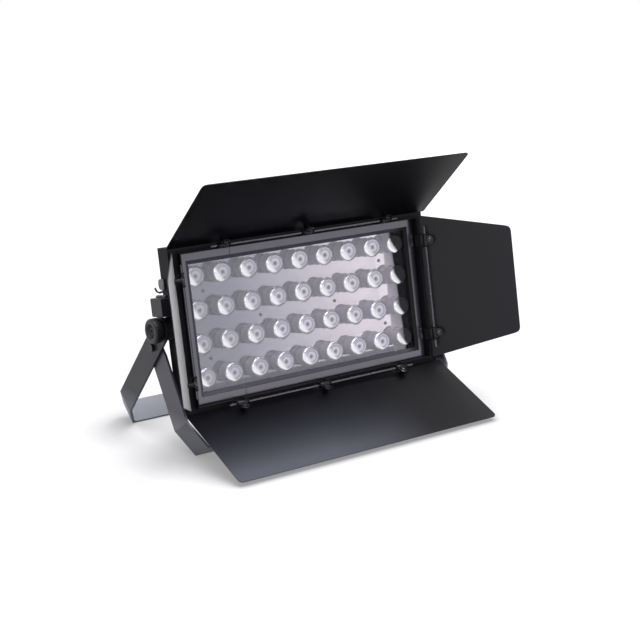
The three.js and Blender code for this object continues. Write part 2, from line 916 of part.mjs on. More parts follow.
// The outline of a strip of one thickness that follows a bent line on its inner side
function stripOutline(line, thickness) {
  const inner = line.map((point, i) => {
    const before = line[Math.max(i - 1, 0)];
    const after = line[Math.min(i + 1, line.length - 1)];
    const into = point.clone().sub(before);
    const out = after.clone().sub(point);
    const [a, b] = [i === 0 ? out : into, i === line.length - 1 ? into : out].map((v) => (
      new THREE.Vector2(-v.y, v.x).normalize()
    ));
    const mitre = a.clone().add(b).normalize();
    return point.clone().add(mitre.multiplyScalar(thickness / mitre.dot(a)));
  });
  return new THREE.Shape([...line, ...inner.reverse()]);
}

function bentStrip(outside, reach, foldIn, foldAlong, width) {
  const foot = -reach;
  const line = [
    new THREE.Vector2(-outside, 0),
    new THREE.Vector2(-outside, foot + foldAlong),
    new THREE.Vector2(foldIn - outside, foot),
    new THREE.Vector2(outside - foldIn, foot),
    new THREE.Vector2(outside, foot + foldAlong),
    new THREE.Vector2(outside, 0),
  ];
  return facePlate(stripOutline(line, yokeThickness), -width / 2, width / 2);
}

function bothEnds(make) {
  return [make(1), make(-1)];
}

// A cylinder along X through one end of a yoke
function endPin(side, radius, from, to, segments = roundSides) {
  const [low, high] = side > 0 ? [from, to] : [-to, -from];
  return pinX(radius, low, high, segments);
}

function mainReach() {
  const lean = radians(mainLeanDegrees);
  return (pivotHeight - (mainWidth / 2) * Math.sin(lean)) / Math.cos(lean);
}

function standReach() {
  const lean = radians(standLeanDegrees);
  return (pivotHeight - standBoltBelow - (standWidth / 2) * Math.sin(lean)) / Math.cos(lean);
}

// The stand bolt's place, measured in the main yoke's own frame
function boltInMain() {
  const place = new THREE.Vector3(0, standBoltBack, -standBoltBelow);
  return place.applyAxisAngle(new THREE.Vector3(1, 0, 0), -radians(mainLeanDegrees));
}

function clampHoles() {
  const through = 2 * yokeThickness;
  const make = (radius, x) => (
    new THREE.CylinderGeometry(radius, radius, through, roundSides).rotateX(Math.PI / 2)
      .translate(x, 0, yokeThickness / 2 - mainReach())
  );
  return [
    make(clampHoleRadius, 0),
    make(clampSideHoleRadius, clampHoleSpacing),
    make(clampSideHoleRadius, -clampHoleSpacing),
  ];
}

function mainYoke() {
  const strip = bentStrip(mainOutside, mainReach(), mainFoldIn, mainFoldAlong, mainWidth);
  const ends = bothEnds((side) => endPin(side, mainWidth / 2, mainInside, mainOutside, bigSides));
  const [from, to] = [mainInside - cutOverrun, mainOutside + cutOverrun];
  const studHole = holeRadius(knobStudRadius, seatGap, roundSides);
  const boltHole = holeRadius(boltRadius, seatGap, roundSides);
  const bolt = boltInMain();
  const holes = bothEnds((side) => endPin(side, studHole, from, to));
  const boltHoles = bothEnds((side) => endPin(side, boltHole, from, to).translate(0, bolt.y, bolt.z));
  return cut(joined(strip, ...ends), ...holes, ...boltHoles, ...clampHoles());
}

function standYoke() {
  const strip = bentStrip(standOutside, standReach(), standFoldIn, standFoldAlong, standWidth);
  const above = rectangle(standWidth, standShoulder / 2, 0, -standShoulder / 2 + cutOverrun / 2);
  const trims = bothEnds((side) => {
    const [from, to] = side > 0
      ? [standInside - cutOverrun, standOutside + cutOverrun]
      : [-standOutside - cutOverrun, -standInside + cutOverrun];
    return endPlate(above, from, to);
  });
  const shoulders = bothEnds((side) => standShoulderPlate(side));
  const boltHole = holeRadius(boltRadius, seatGap, roundSides);
  const [from, to] = [standInside - cutOverrun, standOutside + cutOverrun];
  const holes = bothEnds((side) => endPin(side, boltHole, from, to));
  return cut(joined(cut(strip, ...trims), ...shoulders), ...holes);
}

function standShoulderPlate(side) {
  const shape = new THREE.Shape();
  shape.moveTo(-standWidth / 2, -standShoulder);
  shape.lineTo(standWidth / 2, -standShoulder);
  shape.absarc(0, 0, standEndRadius, 0, Math.PI, false);
  shape.closePath();
  const [from, to] = side > 0 ? [standInside, standOutside] : [-standOutside, -standInside];
  return endPlate(shape, from, to);
}

function standBolt(side) {
  const headSeat = mainOutside + seatGap;
  const nutSeat = standInside - seatGap;
  const head = endPin(side, boltHeadRadius, headSeat, headSeat + boltHeadHeight);
  const nut = endPin(side, boltHeadRadius, nutSeat - boltHeadHeight, nutSeat, smallSides);
  const shank = endPin(side, boltRadius, nutSeat - boltHeadHeight / 2, headSeat + boltHeadHeight / 2);
  return joined(head, nut, shank);
}

// Brackets on the ends of the front frame

function frameBracket(side) {
  const low = bracketBelow;
  const high = bracketBelow + bracketHeight;
  const [front, back] = [bracketBehind - bracketDepth, bracketBehind];
  const corners = [
    new THREE.Vector2(front, low),
    new THREE.Vector2(back, low),
    new THREE.Vector2(back, high),
    new THREE.Vector2(front, high),
  ];
  const shape = softPolygon(corners, corners.map(() => bracketEdge));
  const far = hubStart + bracketWidth;
  const [from, to] = side > 0 ? [hubStart, far] : [-far, -hubStart];
  const block = endPlate(shape, from, to);
  const bar = disc(bracketBarRadius, front + bracketWall, back - bracketWall, smallSides)
    .translate(side * (hubStart + bracketWidth / 2), 0, high);
  return joined(block, bar);
}

function springClip(side) {
  const [front, back] = [springFootBehind - springFoot, springFootBehind];
  const low = springFootAbove;
  const corners = [
    new THREE.Vector2(front, low),
    new THREE.Vector2(back, low),
    new THREE.Vector2(back, low + springFoot),
    new THREE.Vector2(front, low + springFoot),
  ];
  const radii = [springWire, springFoot / 2 - springWire, springFoot / 2 - springWire, springWire];
  const far = hubStart + springFootThickness;
  const [from, to] = side > 0 ? [hubStart, far] : [-far, -hubStart];
  const foot = endPlate(softPolygon(corners, radii), from, to);
  const middle = side * (hubStart + springWire + seatGap);
  const out = side * (hubStart + springReach);
  const path = new THREE.CatmullRomCurve3([
    new THREE.Vector3(middle, springWireBehind, springFootAbove + springFoot / 2),
    new THREE.Vector3(middle, springWireBehind, springWireAbove + springWire),
    new THREE.Vector3(out, springWireBehind, springWireAbove),
    new THREE.Vector3(out + side * springTipOut, springWireBehind, springWireAbove + springTipRise),
  ], false, 'catmullrom', springWireTensionShare);
  const section = new THREE.Shape();
  section.absarc(0, 0, springWire, 0, 2 * Math.PI, false);
  const wire = new THREE.ExtrudeGeometry(section, {
    steps: wireSteps,
    bevelEnabled: false,
    curveSegments: smallSides,
    extrudePath: path,
  });
  return joined(foot, wire);
}

// Materials

function finish(color, roughness, metalness) {
  return () => new THREE.MeshStandardMaterial({ color, roughness, metalness });
}

const blackSheet = finish(0x1c1c1f, 0.55, 0.35);
const greySheet = finish(0x3d3d42, 0.6, 0.35);
const bezelPaint = finish(0x55555b, 0.5, 0.4);
const mirrorPlate = finish(0xa9a9b4, 0.25, 0.9);
const opticPlastic = finish(0x2a2a30, 0.4, 0.1);
const rubber = finish(0x101012, 0.9, 0);
const castAluminium = finish(0x2b2b2e, 0.6, 0.5);
const steel = finish(0x8c8c90, 0.35, 0.9);
const blackPlastic = finish(0x141416, 0.6, 0);
const boardGreen = finish(0x1f4030, 0.6, 0.1);

function glazing() {
  const paint = new THREE.MeshStandardMaterial({ color: 0xdfe6ea, roughness: 0.05, metalness: 0 });
  paint.transparent = true;
  paint.opacity = 0.25;
  return paint;
}

// Assembly

const light = new THREE.Group();
const mainGroup = new THREE.Group();
const standGroup = new THREE.Group();
const tiltGroup = new THREE.Group();
const head = new THREE.Group();
light.add(mainGroup, standGroup, tiltGroup);
tiltGroup.add(head);
mainGroup.rotation.x = radians(mainLeanDegrees);
standGroup.position.set(0, standBoltBack, -standBoltBelow);
standGroup.rotation.x = -radians(standLeanDegrees);
tiltGroup.rotation.x = -radians(headTiltDegrees);
head.position.set(0, -pivotBehind, -pivotAbove);

function add(group, name, geometry, material, place = [0, 0, 0]) {
  const body = facingOut(geometry);
  body.computeVertexNormals();
  const mesh = new THREE.Mesh(body, material());
  mesh.name = name;
  mesh.position.set(...place);
  group.add(mesh);
}

function addYokes() {
  const bolt = boltInMain();
  add(mainGroup, 'main_yoke', mainYoke(), greySheet);
  add(mainGroup, 'stand_bolt_left', standBolt(-1), steel, [0, bolt.y, bolt.z]);
  add(mainGroup, 'stand_bolt_right', standBolt(1), steel, [0, bolt.y, bolt.z]);
  add(standGroup, 'stand_yoke', standYoke(), greySheet);
}

function addPivots() {
  for (const [word, side] of [['left', -1], ['right', 1]]) {
    add(tiltGroup, `pivot_hub_${word}`, hub(side), blackPlastic);
    add(tiltGroup, `knob_${word}`, knob(side), blackPlastic);
    add(head, `frame_bracket_${word}`, frameBracket(side), greySheet);
    add(head, `spring_clip_${word}`, springClip(side), steel);
  }
}

function addFront() {
  add(head, 'front_frame', frontFrame(), greySheet);
  add(head, 'bezel', bezel(), bezelPaint);
  add(head, 'glass_gasket', gasket(), rubber);
  add(head, 'front_glass', glass(), glazing);
  add(head, 'tray', tray(), blackSheet);
  add(head, 'reflector_plate', reflectorPlate(), mirrorPlate);
  const row = ledRow();
  rowPlaces().forEach((z, i) => add(head, `led_row_${i + 1}`, row, opticPlastic, [0, 0, z]));
}

function addBack() {
  add(head, 'heat_sink', heatSink(), castAluminium);
  add(head, 'driver_case', driverCase(), blackSheet);
  add(head, 'power_supply', powerSupply(), steel, [0, 0, supplyRise]);
  add(head, 'control_unit', controlUnit(), boardGreen, [0, 0, controlCentre]);
  add(head, 'display_window', displayWindow(), blackPlastic, [displayCentreX, 0, controlCentre]);
  buttonPlaces().forEach((x, i) => {
    add(head, `button_${i + 1}`, pushButton(), blackPlastic, [x, 0, controlCentre]);
  });
  const sockets = [
    ['power_inlet', powerSocket(0)],
    ['power_outlet', powerSocket(180)],
    ['signal_inlet', signalInlet()],
    ['signal_outlet', signalOutlet()],
  ];
  const places = socketPlaces();
  sockets.forEach(([name, geometry], i) => {
    add(head, name, geometry, blackPlastic, [places[i], 0, socketCentre]);
  });
  add(head, 'safety_eye', safetyEye(), steel);
}

function addDoors() {
  for (const side of sides) {
    const turned = new THREE.Group();
    const hinge = new THREE.Group();
    const door = new THREE.Group();
    turned.rotation.y = radians(side.turn);
    hinge.position.set(0, -rodOut, side.reach);
    door.rotation.x = -radians(side.open);
    head.add(turned);
    turned.add(hinge);
    hinge.add(door);
    add(hinge, `hinge_rod_${side.name}`, hingeRod(side), steel);
    add(door, `leaf_${side.name}`, leaf(side), blackSheet);
    side.clips.forEach((x, i) => {
      add(door, `clip_${side.name}_${i + 1}`, hingeClip(), greySheet, [x, 0, 0]);
    });
  }
}

addYokes();
addPivots();
addFront();
addBack();
addDoors();

// The origin goes under the middle of the whole lamp, at the height of what it stands on
light.updateMatrixWorld(true);
const extent = new THREE.Box3().setFromObject(light, true);
const middle = extent.getCenter(new THREE.Vector3());
light.position.set(-middle.x, -middle.y, -extent.min.z);

export default light;
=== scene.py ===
"""LED wash light: finishes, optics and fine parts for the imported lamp, with its studio."""
import json
import math

import bpy
from mathutils import Matrix, Vector


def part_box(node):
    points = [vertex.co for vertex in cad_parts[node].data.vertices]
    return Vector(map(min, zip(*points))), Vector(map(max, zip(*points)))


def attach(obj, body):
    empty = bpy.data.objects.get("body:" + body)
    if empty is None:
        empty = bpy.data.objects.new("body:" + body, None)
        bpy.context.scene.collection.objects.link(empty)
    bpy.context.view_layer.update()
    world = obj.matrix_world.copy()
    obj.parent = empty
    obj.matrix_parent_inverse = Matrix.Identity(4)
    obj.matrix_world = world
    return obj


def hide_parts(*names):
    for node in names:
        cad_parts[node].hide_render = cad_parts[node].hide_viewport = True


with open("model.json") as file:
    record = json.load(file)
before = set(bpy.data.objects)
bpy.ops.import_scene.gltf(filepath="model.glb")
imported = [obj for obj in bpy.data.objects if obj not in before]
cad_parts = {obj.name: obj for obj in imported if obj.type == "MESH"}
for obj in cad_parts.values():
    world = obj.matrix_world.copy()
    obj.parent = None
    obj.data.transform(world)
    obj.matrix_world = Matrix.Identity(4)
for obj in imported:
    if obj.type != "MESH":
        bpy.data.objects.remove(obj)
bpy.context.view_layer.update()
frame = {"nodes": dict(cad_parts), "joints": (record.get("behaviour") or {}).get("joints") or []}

MM = 0.001

# Places nearer than this count as one
TOUCH = 0.001 * MM

# Camera of the photograph
CAMERA_FROM_LENSES = Vector((-1.376106, -1.966969, 0.658612))
CAMERA_FORWARD = Vector((0.559267, 0.782877, -0.272625))
CAMERA_LENS = 81.439
SENSOR_WIDTH = 36.0

# Lens field. Depths run back from the front of the lenses.
COLUMNS = 9
ROWS = 4
COLUMN_PITCH = 52 * MM
ROW_PITCH = 56.5 * MM
LENS_TO_GLASS_MIDDLE = 2.1 * MM
RIM_RADIUS = 17.8 * MM
RIM_BACK = -4.2 * MM
FACE_RADIUS = 13.2 * MM
LENS_FOOT = -20 * MM
CUP_FLOOR = -21.4 * MM
HOLDER_RADIUS = 16.2 * MM
HOLDER_WALL = 0.9 * MM
HOLDER_FOOT = -27.6 * MM
SEATING = 0.1 * MM
LED_RADIUS = 2.4 * MM
LED_HEIGHT = 0.8 * MM
BOARD_BACK = -28.4 * MM
BOARD_FRONT = -26.8 * MM
BOARD_END = 28 * MM
BOARD_HEIGHT = 44 * MM
PLATE_FRONT = -25 * MM
PLATE_BACK = -26.5 * MM
PLATE_HALF = (236 * MM, 119 * MM)
PLATE_HOLE_RADIUS = 16.7 * MM
PLATE_SCREWS = [
    (-184 * MM, 57 * MM),
    (-184 * MM, -57 * MM),
    (-78 * MM, 0),
    (78 * MM, 0),
    (184 * MM, 57 * MM),
    (184 * MM, -57 * MM),
]

# Painted shade of the right door on the face, and the glass's reflection painted out where it mirrors
# that door: how far right of the middle it starts, and its edge's lean
PLATE_DULL_FROM = 195 * MM
PLATE_PAINTED_SHADE_FROM = 218.5 * MM
GLASS_REFLECTION_OUT_FROM = 196.5 * MM
GASKET_PAINTED_SHADE_FROM = 200 * MM
BEZEL_PAINTED_SHADE_FROM = 236 * MM
SHADE_LEAN = 0.05

# Glass and lenses: veil, gloss at a slant, clear acrylic, and the lit side across and up each lens,
# which gets a painted highlight
GLASS_VEIL = 0.1
GRAZING_GLOSS = 0.6
ACRYLIC_IOR = 1.49
LIT_SIDE_OF_LENS = (-0.84, -0.54)

# Seam across the long bars of the bezel
SEAM_FROM_CENTRE = 144 * MM
SEAM_HALF_WIDTH = 0.5 * MM

# Painted light that makes the foot of both yokes paler: the height where it ends, and the stretch over
# which it fades in below
LIT_FOOT_HEIGHT = 75 * MM
LIT_FOOT_FADE = 30 * MM

# Painted light on the bottom door, a pale pool: where it starts and how it grows, toward the front and
# toward the left
PAINTED_LIGHT_FRONT_FROM = -50 * MM
PAINTED_LIGHT_FRONT_FADE = 130 * MM
PAINTED_LIGHT_LEFT_FROM = 120 * MM
PAINTED_LIGHT_LEFT_FADE = 200 * MM

# Clamping knobs: the flutes of the rim, their depth, and how deep the rim reaches inward
KNOB_FLUTES = 24
KNOB_FLUTE_DEPTH = 0.9 * MM
KNOB_RIM = 1 * MM

# Barn doors: name, turn about the way the light shines, opening, clip places along the rod
LONG_DOOR_CLIPS = (-167 * MM, 0, 167 * MM)
SHORT_DOOR_CLIPS = (-84.5 * MM, 84.5 * MM)
DOORS = [
    ("top", 0, 34.3, LONG_DOOR_CLIPS),
    ("bottom", 180, 32.2, LONG_DOOR_CLIPS),
    ("right", 90, 41.7, SHORT_DOOR_CLIPS),
    ("left", -90, 32.5, SHORT_DOOR_CLIPS),
]
CLIP_HALF = 8.5 * MM
CLIP_BARREL = 4.2 * MM
CLIP_TAB = 2 * MM
CLIP_SCREW_REACH = 7 * MM
CLIP_SCREW_RADIUS = 2.1 * MM
CLIP_POST_RADIUS = 4 * MM
CLIP_PLAY = 0.3 * MM
LEAF_STANDOFF = 12 * MM
LEAF_THICKNESS = 1.5 * MM


# Frames of reference


def joint_named(name):
    return next(joint for joint in frame["joints"] if joint["name"] == name)


press = Vector(joint_named("button_1_press")["axis"])
HEAD_TILT = math.atan2(press.z, -press.y)
glass_low, glass_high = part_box("front_glass")
HEAD_TURN = Matrix.Rotation(-HEAD_TILT, 4, "X")
LIGHT_CENTRE = (glass_low + glass_high) / 2 + HEAD_TURN @ Vector((0, LENS_TO_GLASS_MIDDLE, 0))
HEAD = Matrix.Translation(LIGHT_CENTRE) @ HEAD_TURN
OUT_OF_FACE = Matrix.Rotation(math.radians(90), 4, "X")


def column_place(column):
    return (column - (COLUMNS - 1) / 2) * COLUMN_PITCH


def row_place(row):
    return ((ROWS - 1) / 2 - row) * ROW_PITCH


def on_face(x, z):
    """The place of a piece drawn with +Z out of the face."""
    return HEAD @ Matrix.Translation((x, 0, z)) @ OUT_OF_FACE


# Colours and node trees


def linear(value):
    """One channel of a screen colour, 0 to 255, as light."""
    share = value / 255
    return share / 12.92 if share <= 0.04045 else ((share + 0.055) / 1.055) ** 2.4


def tint(red, green, blue):
    return (linear(red), linear(green), linear(blue), 1)


def grey(level):
    return (level, level, level, 1)


BLACK = grey(0)
WHITE = grey(1)


class Value:
    """A socket of a material. Arithmetic on it adds Math nodes."""

    def __init__(self, paint, socket):
        self.paint = paint
        self.socket = socket

    def _math(self, operation, *terms):
        inputs = dict(enumerate(terms))
        return self.paint.make("ShaderNodeMath", {"operation": operation}, inputs)

    def __add__(self, other):
        return self._math("ADD", self, other)

    def __radd__(self, other):
        return self._math("ADD", other, self)

    def __sub__(self, other):
        return self._math("SUBTRACT", self, other)

    def __rsub__(self, other):
        return self._math("SUBTRACT", other, self)

    def __mul__(self, other):
        return self._math("MULTIPLY", self, other)

    def __rmul__(self, other):
        return self._math("MULTIPLY", other, self)

    def __truediv__(self, other):
        return self._math("DIVIDE", self, other)

    def __pow__(self, other):
        return self._math("POWER", self, other)

    def __lt__(self, other):
        return self._math("LESS_THAN", self, other)

    def __gt__(self, other):
        return self._math("GREATER_THAN", self, other)

    def __abs__(self):
        return self._math("ABSOLUTE", self)

    def fraction(self):
        return self._math("FRACT", self)

    def clamped(self):
        return self._math("MINIMUM", self._math("MAXIMUM", self, 0.0), 1.0)


class Paint:
    """The node tree of a material, or of the world, under construction.

    A Mix node's colours are its inputs 6 and 7 and its output 2.
    """

    def __init__(self, name, owner=None):
        self.material = owner or bpy.data.materials.new(name)
        self.material.use_nodes = True
        self.tree = self.material.node_tree
        self.tree.nodes.clear()

    def make(self, kind, settings=None, inputs=None, output=0):
        node = self.tree.nodes.new(kind)
        for key, value in (settings or {}).items():
            if key == "stops":
                self._set_stops(node, value)
            else:
                setattr(node, key, value)
        for key, value in (inputs or {}).items():
            self._feed(node.inputs[key], value)
        return Value(self, node.outputs[output])

    def _feed(self, socket, value):
        if isinstance(value, Value):
            self.tree.links.new(value.socket, socket)
        else:
            socket.default_value = value

    def _set_stops(self, node, stops):
        ramp = node.color_ramp
        while len(ramp.elements) < len(stops):
            ramp.elements.new(1)
        for element, (place, colour) in zip(ramp.elements, stops):
            element.position = place
            element.color = colour

    def place(self):
        return self.make("ShaderNodeTexCoord", output="Object")

    def split(self, vector):
        node = self.tree.nodes.new("ShaderNodeSeparateXYZ")
        self._feed(node.inputs[0], vector)
        return [Value(self, socket) for socket in node.outputs]

    def noise(self, scale, detail=2.0, roughness=0.5, where=None, distortion=0.0):
        inputs = {
            "Vector": where or self.place(),
            "Scale": scale,
            "Detail": detail,
            "Roughness": roughness,
            "Distortion": distortion,
        }
        return self.make("ShaderNodeTexNoise", {}, inputs)

    def ramp(self, factor, stops):
        return self.make("ShaderNodeValToRGB", {"stops": stops}, {0: factor})

    def mask(self, factor, low, high):
        """Black up to the low place, white from the high one, even between."""
        return self.ramp(factor, [(low, BLACK), (high, WHITE)])

    def mixed(self, factor, first, second):
        inputs = {0: factor, 6: first, 7: second}
        return self.make("ShaderNodeMix", {"data_type": "RGBA"}, inputs, 2)

    def vector_math(self, operation, first, second=None, output="Value"):
        inputs = {0: first} if second is None else {0: first, 1: second}
        return self.make("ShaderNodeVectorMath", {"operation": operation}, inputs, output)

    def rounded(self, radius):
        """A normal that rounds sharp edges."""
        return self.make("ShaderNodeBevel", {"samples": 4}, {"Radius": radius})

    def edges(self, rounded, gain):
        """A mask that rises on sharp edges, where a coat wears."""
        flat = self.make("ShaderNodeNewGeometry", output="Normal")
        return ((1 - self.vector_math("DOT_PRODUCT", rounded, flat)) * gain).clamped()

    def bump(self, height, strength, distance, normal=None):
        inputs = {"Strength": strength, "Distance": distance, "Height": height}
        if normal:
            inputs["Normal"] = normal
        return self.make("ShaderNodeBump", {}, inputs)

    def finish(self, **sockets):
        inputs = {}
        for key, value in sockets.items():
            inputs[key.replace("_", " ").title().replace("Ior", "IOR")] = value
        self.close(self.make("ShaderNodeBsdfPrincipled", {}, inputs))
        return self.material

    def close(self, shader, kind="ShaderNodeOutputMaterial"):
        node = self.tree.nodes.new(kind)
        self.tree.links.new(shader.socket, node.inputs[0])

    def seen(self):
        """1 for a ray of the camera or of a mirror or glass, 0 for scattered light."""
        path = self.tree.nodes.new("ShaderNodeLightPath")
        rays = ("Is Camera Ray", "Is Glossy Ray", "Is Transmission Ray")
        camera, glossy, through = (Value(self, path.outputs[ray]) for ray in rays)
        return (camera + glossy + through).clamped()


# Finishes


def right_end(paint, start, fade, lean=0.0):
    """0 over most of the face and 1 past a place right of its middle. A lean slants the edge."""
    x, _, z = paint.split(paint.place())
    across = x - LIGHT_CENTRE.x
    if lean:
        across = across + (z - LIGHT_CENTRE.z) * lean
    return ((across - start) / fade).clamped()


def coated_sheet(name, dark, light, roughness, grain, edge, shine=0.5, foot=None):
    """Powder-coated sheet: fine grain, faint cloudiness, rubbed edges and, if given, painted light that
    makes its foot paler.
    """
    paint = Paint(name)
    rounded = paint.rounded(edge)
    cloud = paint.noise(14.0, 4.0, 0.6)
    speck = paint.noise(1500.0, 2.0, 0.7)
    wear = paint.edges(rounded, 2.2) * paint.mask(paint.noise(60.0, 5.0, 0.7), 0.42, 0.62)
    base = paint.mixed(cloud, dark, light)
    base = paint.mixed(speck * 0.25, base, light)
    # Painted light: a paler foot below its height
    if foot:
        height = paint.split(paint.place())[2]
        base = paint.mixed(((LIT_FOOT_HEIGHT - height) / LIT_FOOT_FADE).clamped(), base, foot)
    base = paint.mixed(wear * 0.4, base, tint(96, 96, 104))
    sheen = roughness + (cloud - 0.5) * 0.12 + (speck - 0.5) * 0.1
    normal = paint.bump(speck, grain, 0.2 * MM, rounded)
    return paint.finish(base_color=base, roughness=sheen, normal=normal, specular_ior_level=shine)


def leaf_coat(name, dark, light, shine, dust_and_sheen=0.0, painted_light_pool=0.0):
    """Satin black paint of the door leaves, with handling marks and, if given, a dusty sheen and a
    painted pool of light.
    """
    paint = Paint(name)
    rounded = paint.rounded(0.5 * MM)
    cloud = paint.noise(5.0, 3.0, 0.5)
    speck = paint.noise(1800.0, 2.0, 0.6)
    marks = paint.mask(paint.noise(22.0, 8.0, 0.75, distortion=1.4), 0.6, 0.78)
    wear = paint.edges(rounded, 2.5)
    base = paint.mixed(cloud, dark, light)
    # Painted light: a pale pool toward the front left of the bottom door
    if painted_light_pool:
        x, y, _ = paint.split(paint.place())
        toward_front = ((PAINTED_LIGHT_FRONT_FROM - y) / PAINTED_LIGHT_FRONT_FADE).clamped()
        toward_left = ((PAINTED_LIGHT_LEFT_FROM - x) / PAINTED_LIGHT_LEFT_FADE).clamped()
        base = paint.mixed(toward_front * toward_front * toward_left * painted_light_pool, base, tint(70, 73, 82))
    base = paint.mixed(marks * 0.12, base, tint(70, 71, 78))
    base = paint.mixed(wear * 0.35, base, tint(90, 90, 95))
    sheen = 0.32 + (cloud - 0.5) * 0.12 + marks * 0.06
    normal = paint.bump(speck, 0.08, 0.1 * MM, rounded)
    return paint.finish(
        base_color=base,
        roughness=sheen,
        normal=normal,
        specular_ior_level=shine,
        sheen_weight=dust_and_sheen,
        sheen_roughness=0.35,
    )


def bezel_coat():
    """Grey satin coat of the bezel, with the thin seam across its long bars and painted shade of the
    right door at its right-hand end.
    """
    paint = Paint("bezel_coat")
    rounded = paint.rounded(0.7 * MM)
    x = paint.split(paint.place())[0]
    painted_shade_end = right_end(paint, BEZEL_PAINTED_SHADE_FROM, 12 * MM)
    seam = abs(x - (LIGHT_CENTRE.x - SEAM_FROM_CENTRE)) < SEAM_HALF_WIDTH
    cloud = paint.noise(18.0, 4.0, 0.6)
    speck = paint.noise(1300.0, 2.0, 0.7)
    base = paint.mixed(cloud, tint(100, 98, 107), tint(112, 109, 118))
    base = paint.mixed(painted_shade_end * 0.95, base, tint(20, 20, 24))
    base = paint.mixed(paint.edges(rounded, 2.0) * 0.35, base, tint(150, 150, 160))
    base = paint.mixed(seam, base, tint(8, 8, 10))
    sheen = 0.2 + (cloud - 0.5) * 0.06 + (speck - 0.5) * 0.06
    normal = paint.bump(speck, 0.06, 0.2 * MM, rounded)
    return paint.finish(base_color=base, roughness=sheen, normal=normal, metallic=0.85)


def turned_steel(name, colour, roughness):
    """Plain steel with fine drawn lines along it."""
    paint = Paint(name)
    rounded = paint.rounded(0.4 * MM)
    spots = paint.noise(90.0, 6.0, 0.7)
    lines = paint.noise(2200.0, 1.0, 0.5)
    base = paint.mixed(spots, colour, tint(70, 70, 74))
    sheen = roughness + (spots - 0.5) * 0.2 + (lines - 0.5) * 0.1
    normal = paint.bump(lines, 0.08, 0.1 * MM, rounded)
    return paint.finish(base_color=base, roughness=sheen, normal=normal, metallic=0.9)


def moulded(name, dark, light, grain=0.2):
    """Moulded plastic with a fine spark-eroded grain."""
    paint = Paint(name)
    rounded = paint.rounded(0.4 * MM)
    cloud = paint.noise(30.0, 3.0, 0.5)
    speck = paint.noise(1100.0, 3.0, 0.7)
    base = paint.mixed(cloud, dark, light)
    sheen = 0.5 + (speck - 0.5) * 0.16
    normal = paint.bump(speck, grain, 0.2 * MM, rounded)
    return paint.finish(base_color=base, roughness=sheen, normal=normal)


def gasket_rubber():
    """Grey sloped rubber round the glass, with painted shade of the door at its right-hand end."""
    paint = Paint("gasket_rubber")
    rounded = paint.rounded(0.4 * MM)
    cloud = paint.noise(30.0, 3.0, 0.5)
    speck = paint.noise(1100.0, 3.0, 0.7)
    painted_shade_end = right_end(paint, GASKET_PAINTED_SHADE_FROM, 20 * MM)
    base = paint.mixed(cloud, tint(60, 59, 67), tint(70, 69, 77))
    base = paint.mixed(painted_shade_end, base, tint(7, 7, 9))
    sheen = 0.5 + (speck - 0.5) * 0.16 + painted_shade_end * 0.3
    normal = paint.bump(speck, 0.1, 0.2 * MM, rounded)
    return paint.finish(base_color=base, roughness=sheen, normal=normal, specular_ior_level=0.3)


def knob_plastic():
    """Coarse mottled black of the clamping knobs."""
    paint = Paint("knob_plastic")
    speck = paint.noise(420.0, 4.0, 0.75)
    pits = paint.mask(speck, 0.4, 0.65)
    base = paint.mixed(pits, tint(15, 15, 17), tint(46, 46, 48))
    sheen = 0.48 - pits * 0.2
    normal = paint.bump(speck, 0.35, 0.5 * MM)
    return paint.finish(base_color=base, roughness=sheen, normal=normal, specular_ior_level=0.3)


def polished_plate():
    """Bright rolled aluminium with painted light, dimmer to the left, and at its right-hand end dull,
    then painted dark with the shade of the right door.
    """
    paint = Paint("polished_plate")
    x, y, z = paint.split(paint.place())
    along = paint.make("ShaderNodeCombineXYZ", {}, {0: x * 0.12, 1: y, 2: z})
    grain = paint.noise(900.0, 3.0, 0.6, along)
    cloud = paint.noise(7.0, 3.0, 0.5)
    # Painted light across the plate: dim at the left, brightest right of the middle
    shade = paint.ramp((x - LIGHT_CENTRE.x) / (2 * PLATE_HALF[0]) + 0.5, [
        (0.0, tint(88, 89, 102)),
        (0.22, tint(118, 118, 132)),
        (0.5, tint(186, 181, 192)),
        (0.8, tint(234, 222, 231)),
    ])
    dull_end = right_end(paint, PLATE_DULL_FROM, 5 * MM)
    painted_door_shade = right_end(paint, PLATE_PAINTED_SHADE_FROM, 2 * MM, SHADE_LEAN)
    base = paint.mixed(cloud * 0.2, shade, tint(160, 160, 172))
    base = paint.mixed(grain * 0.12, base, tint(150, 150, 160))
    sheen = 0.1 + (cloud - 0.5) * 0.04 + (grain - 0.5) * 0.05 + dull_end * 0.4
    base = paint.mixed(painted_door_shade, base, tint(9, 9, 11))
    return paint.finish(base_color=base, roughness=sheen, metallic=1 - dull_end * 0.8)


def front_glass():
    """A clear sheet with a faint even veil, glossier where it is seen at a slant, with its reflection
    painted out at one end where it mirrors the dark right door.
    """
    paint = Paint("front_glass")
    slant = paint.make("ShaderNodeLayerWeight", {}, {"Blend": 0.5}, "Facing")
    smear = paint.mask(paint.noise(9.0, 6.0, 0.7, distortion=0.8), 0.45, 0.8)
    painted_out_reflection = right_end(paint, GLASS_REFLECTION_OUT_FROM, 2 * MM, SHADE_LEAN)
    veil = slant ** 3 * GRAZING_GLOSS + smear * 0.01 + GLASS_VEIL
    alpha = (veil * (1 - painted_out_reflection * 0.93)).clamped()
    return paint.finish(base_color=tint(243, 243, 255), metallic=1.0, roughness=0.02, alpha=alpha)


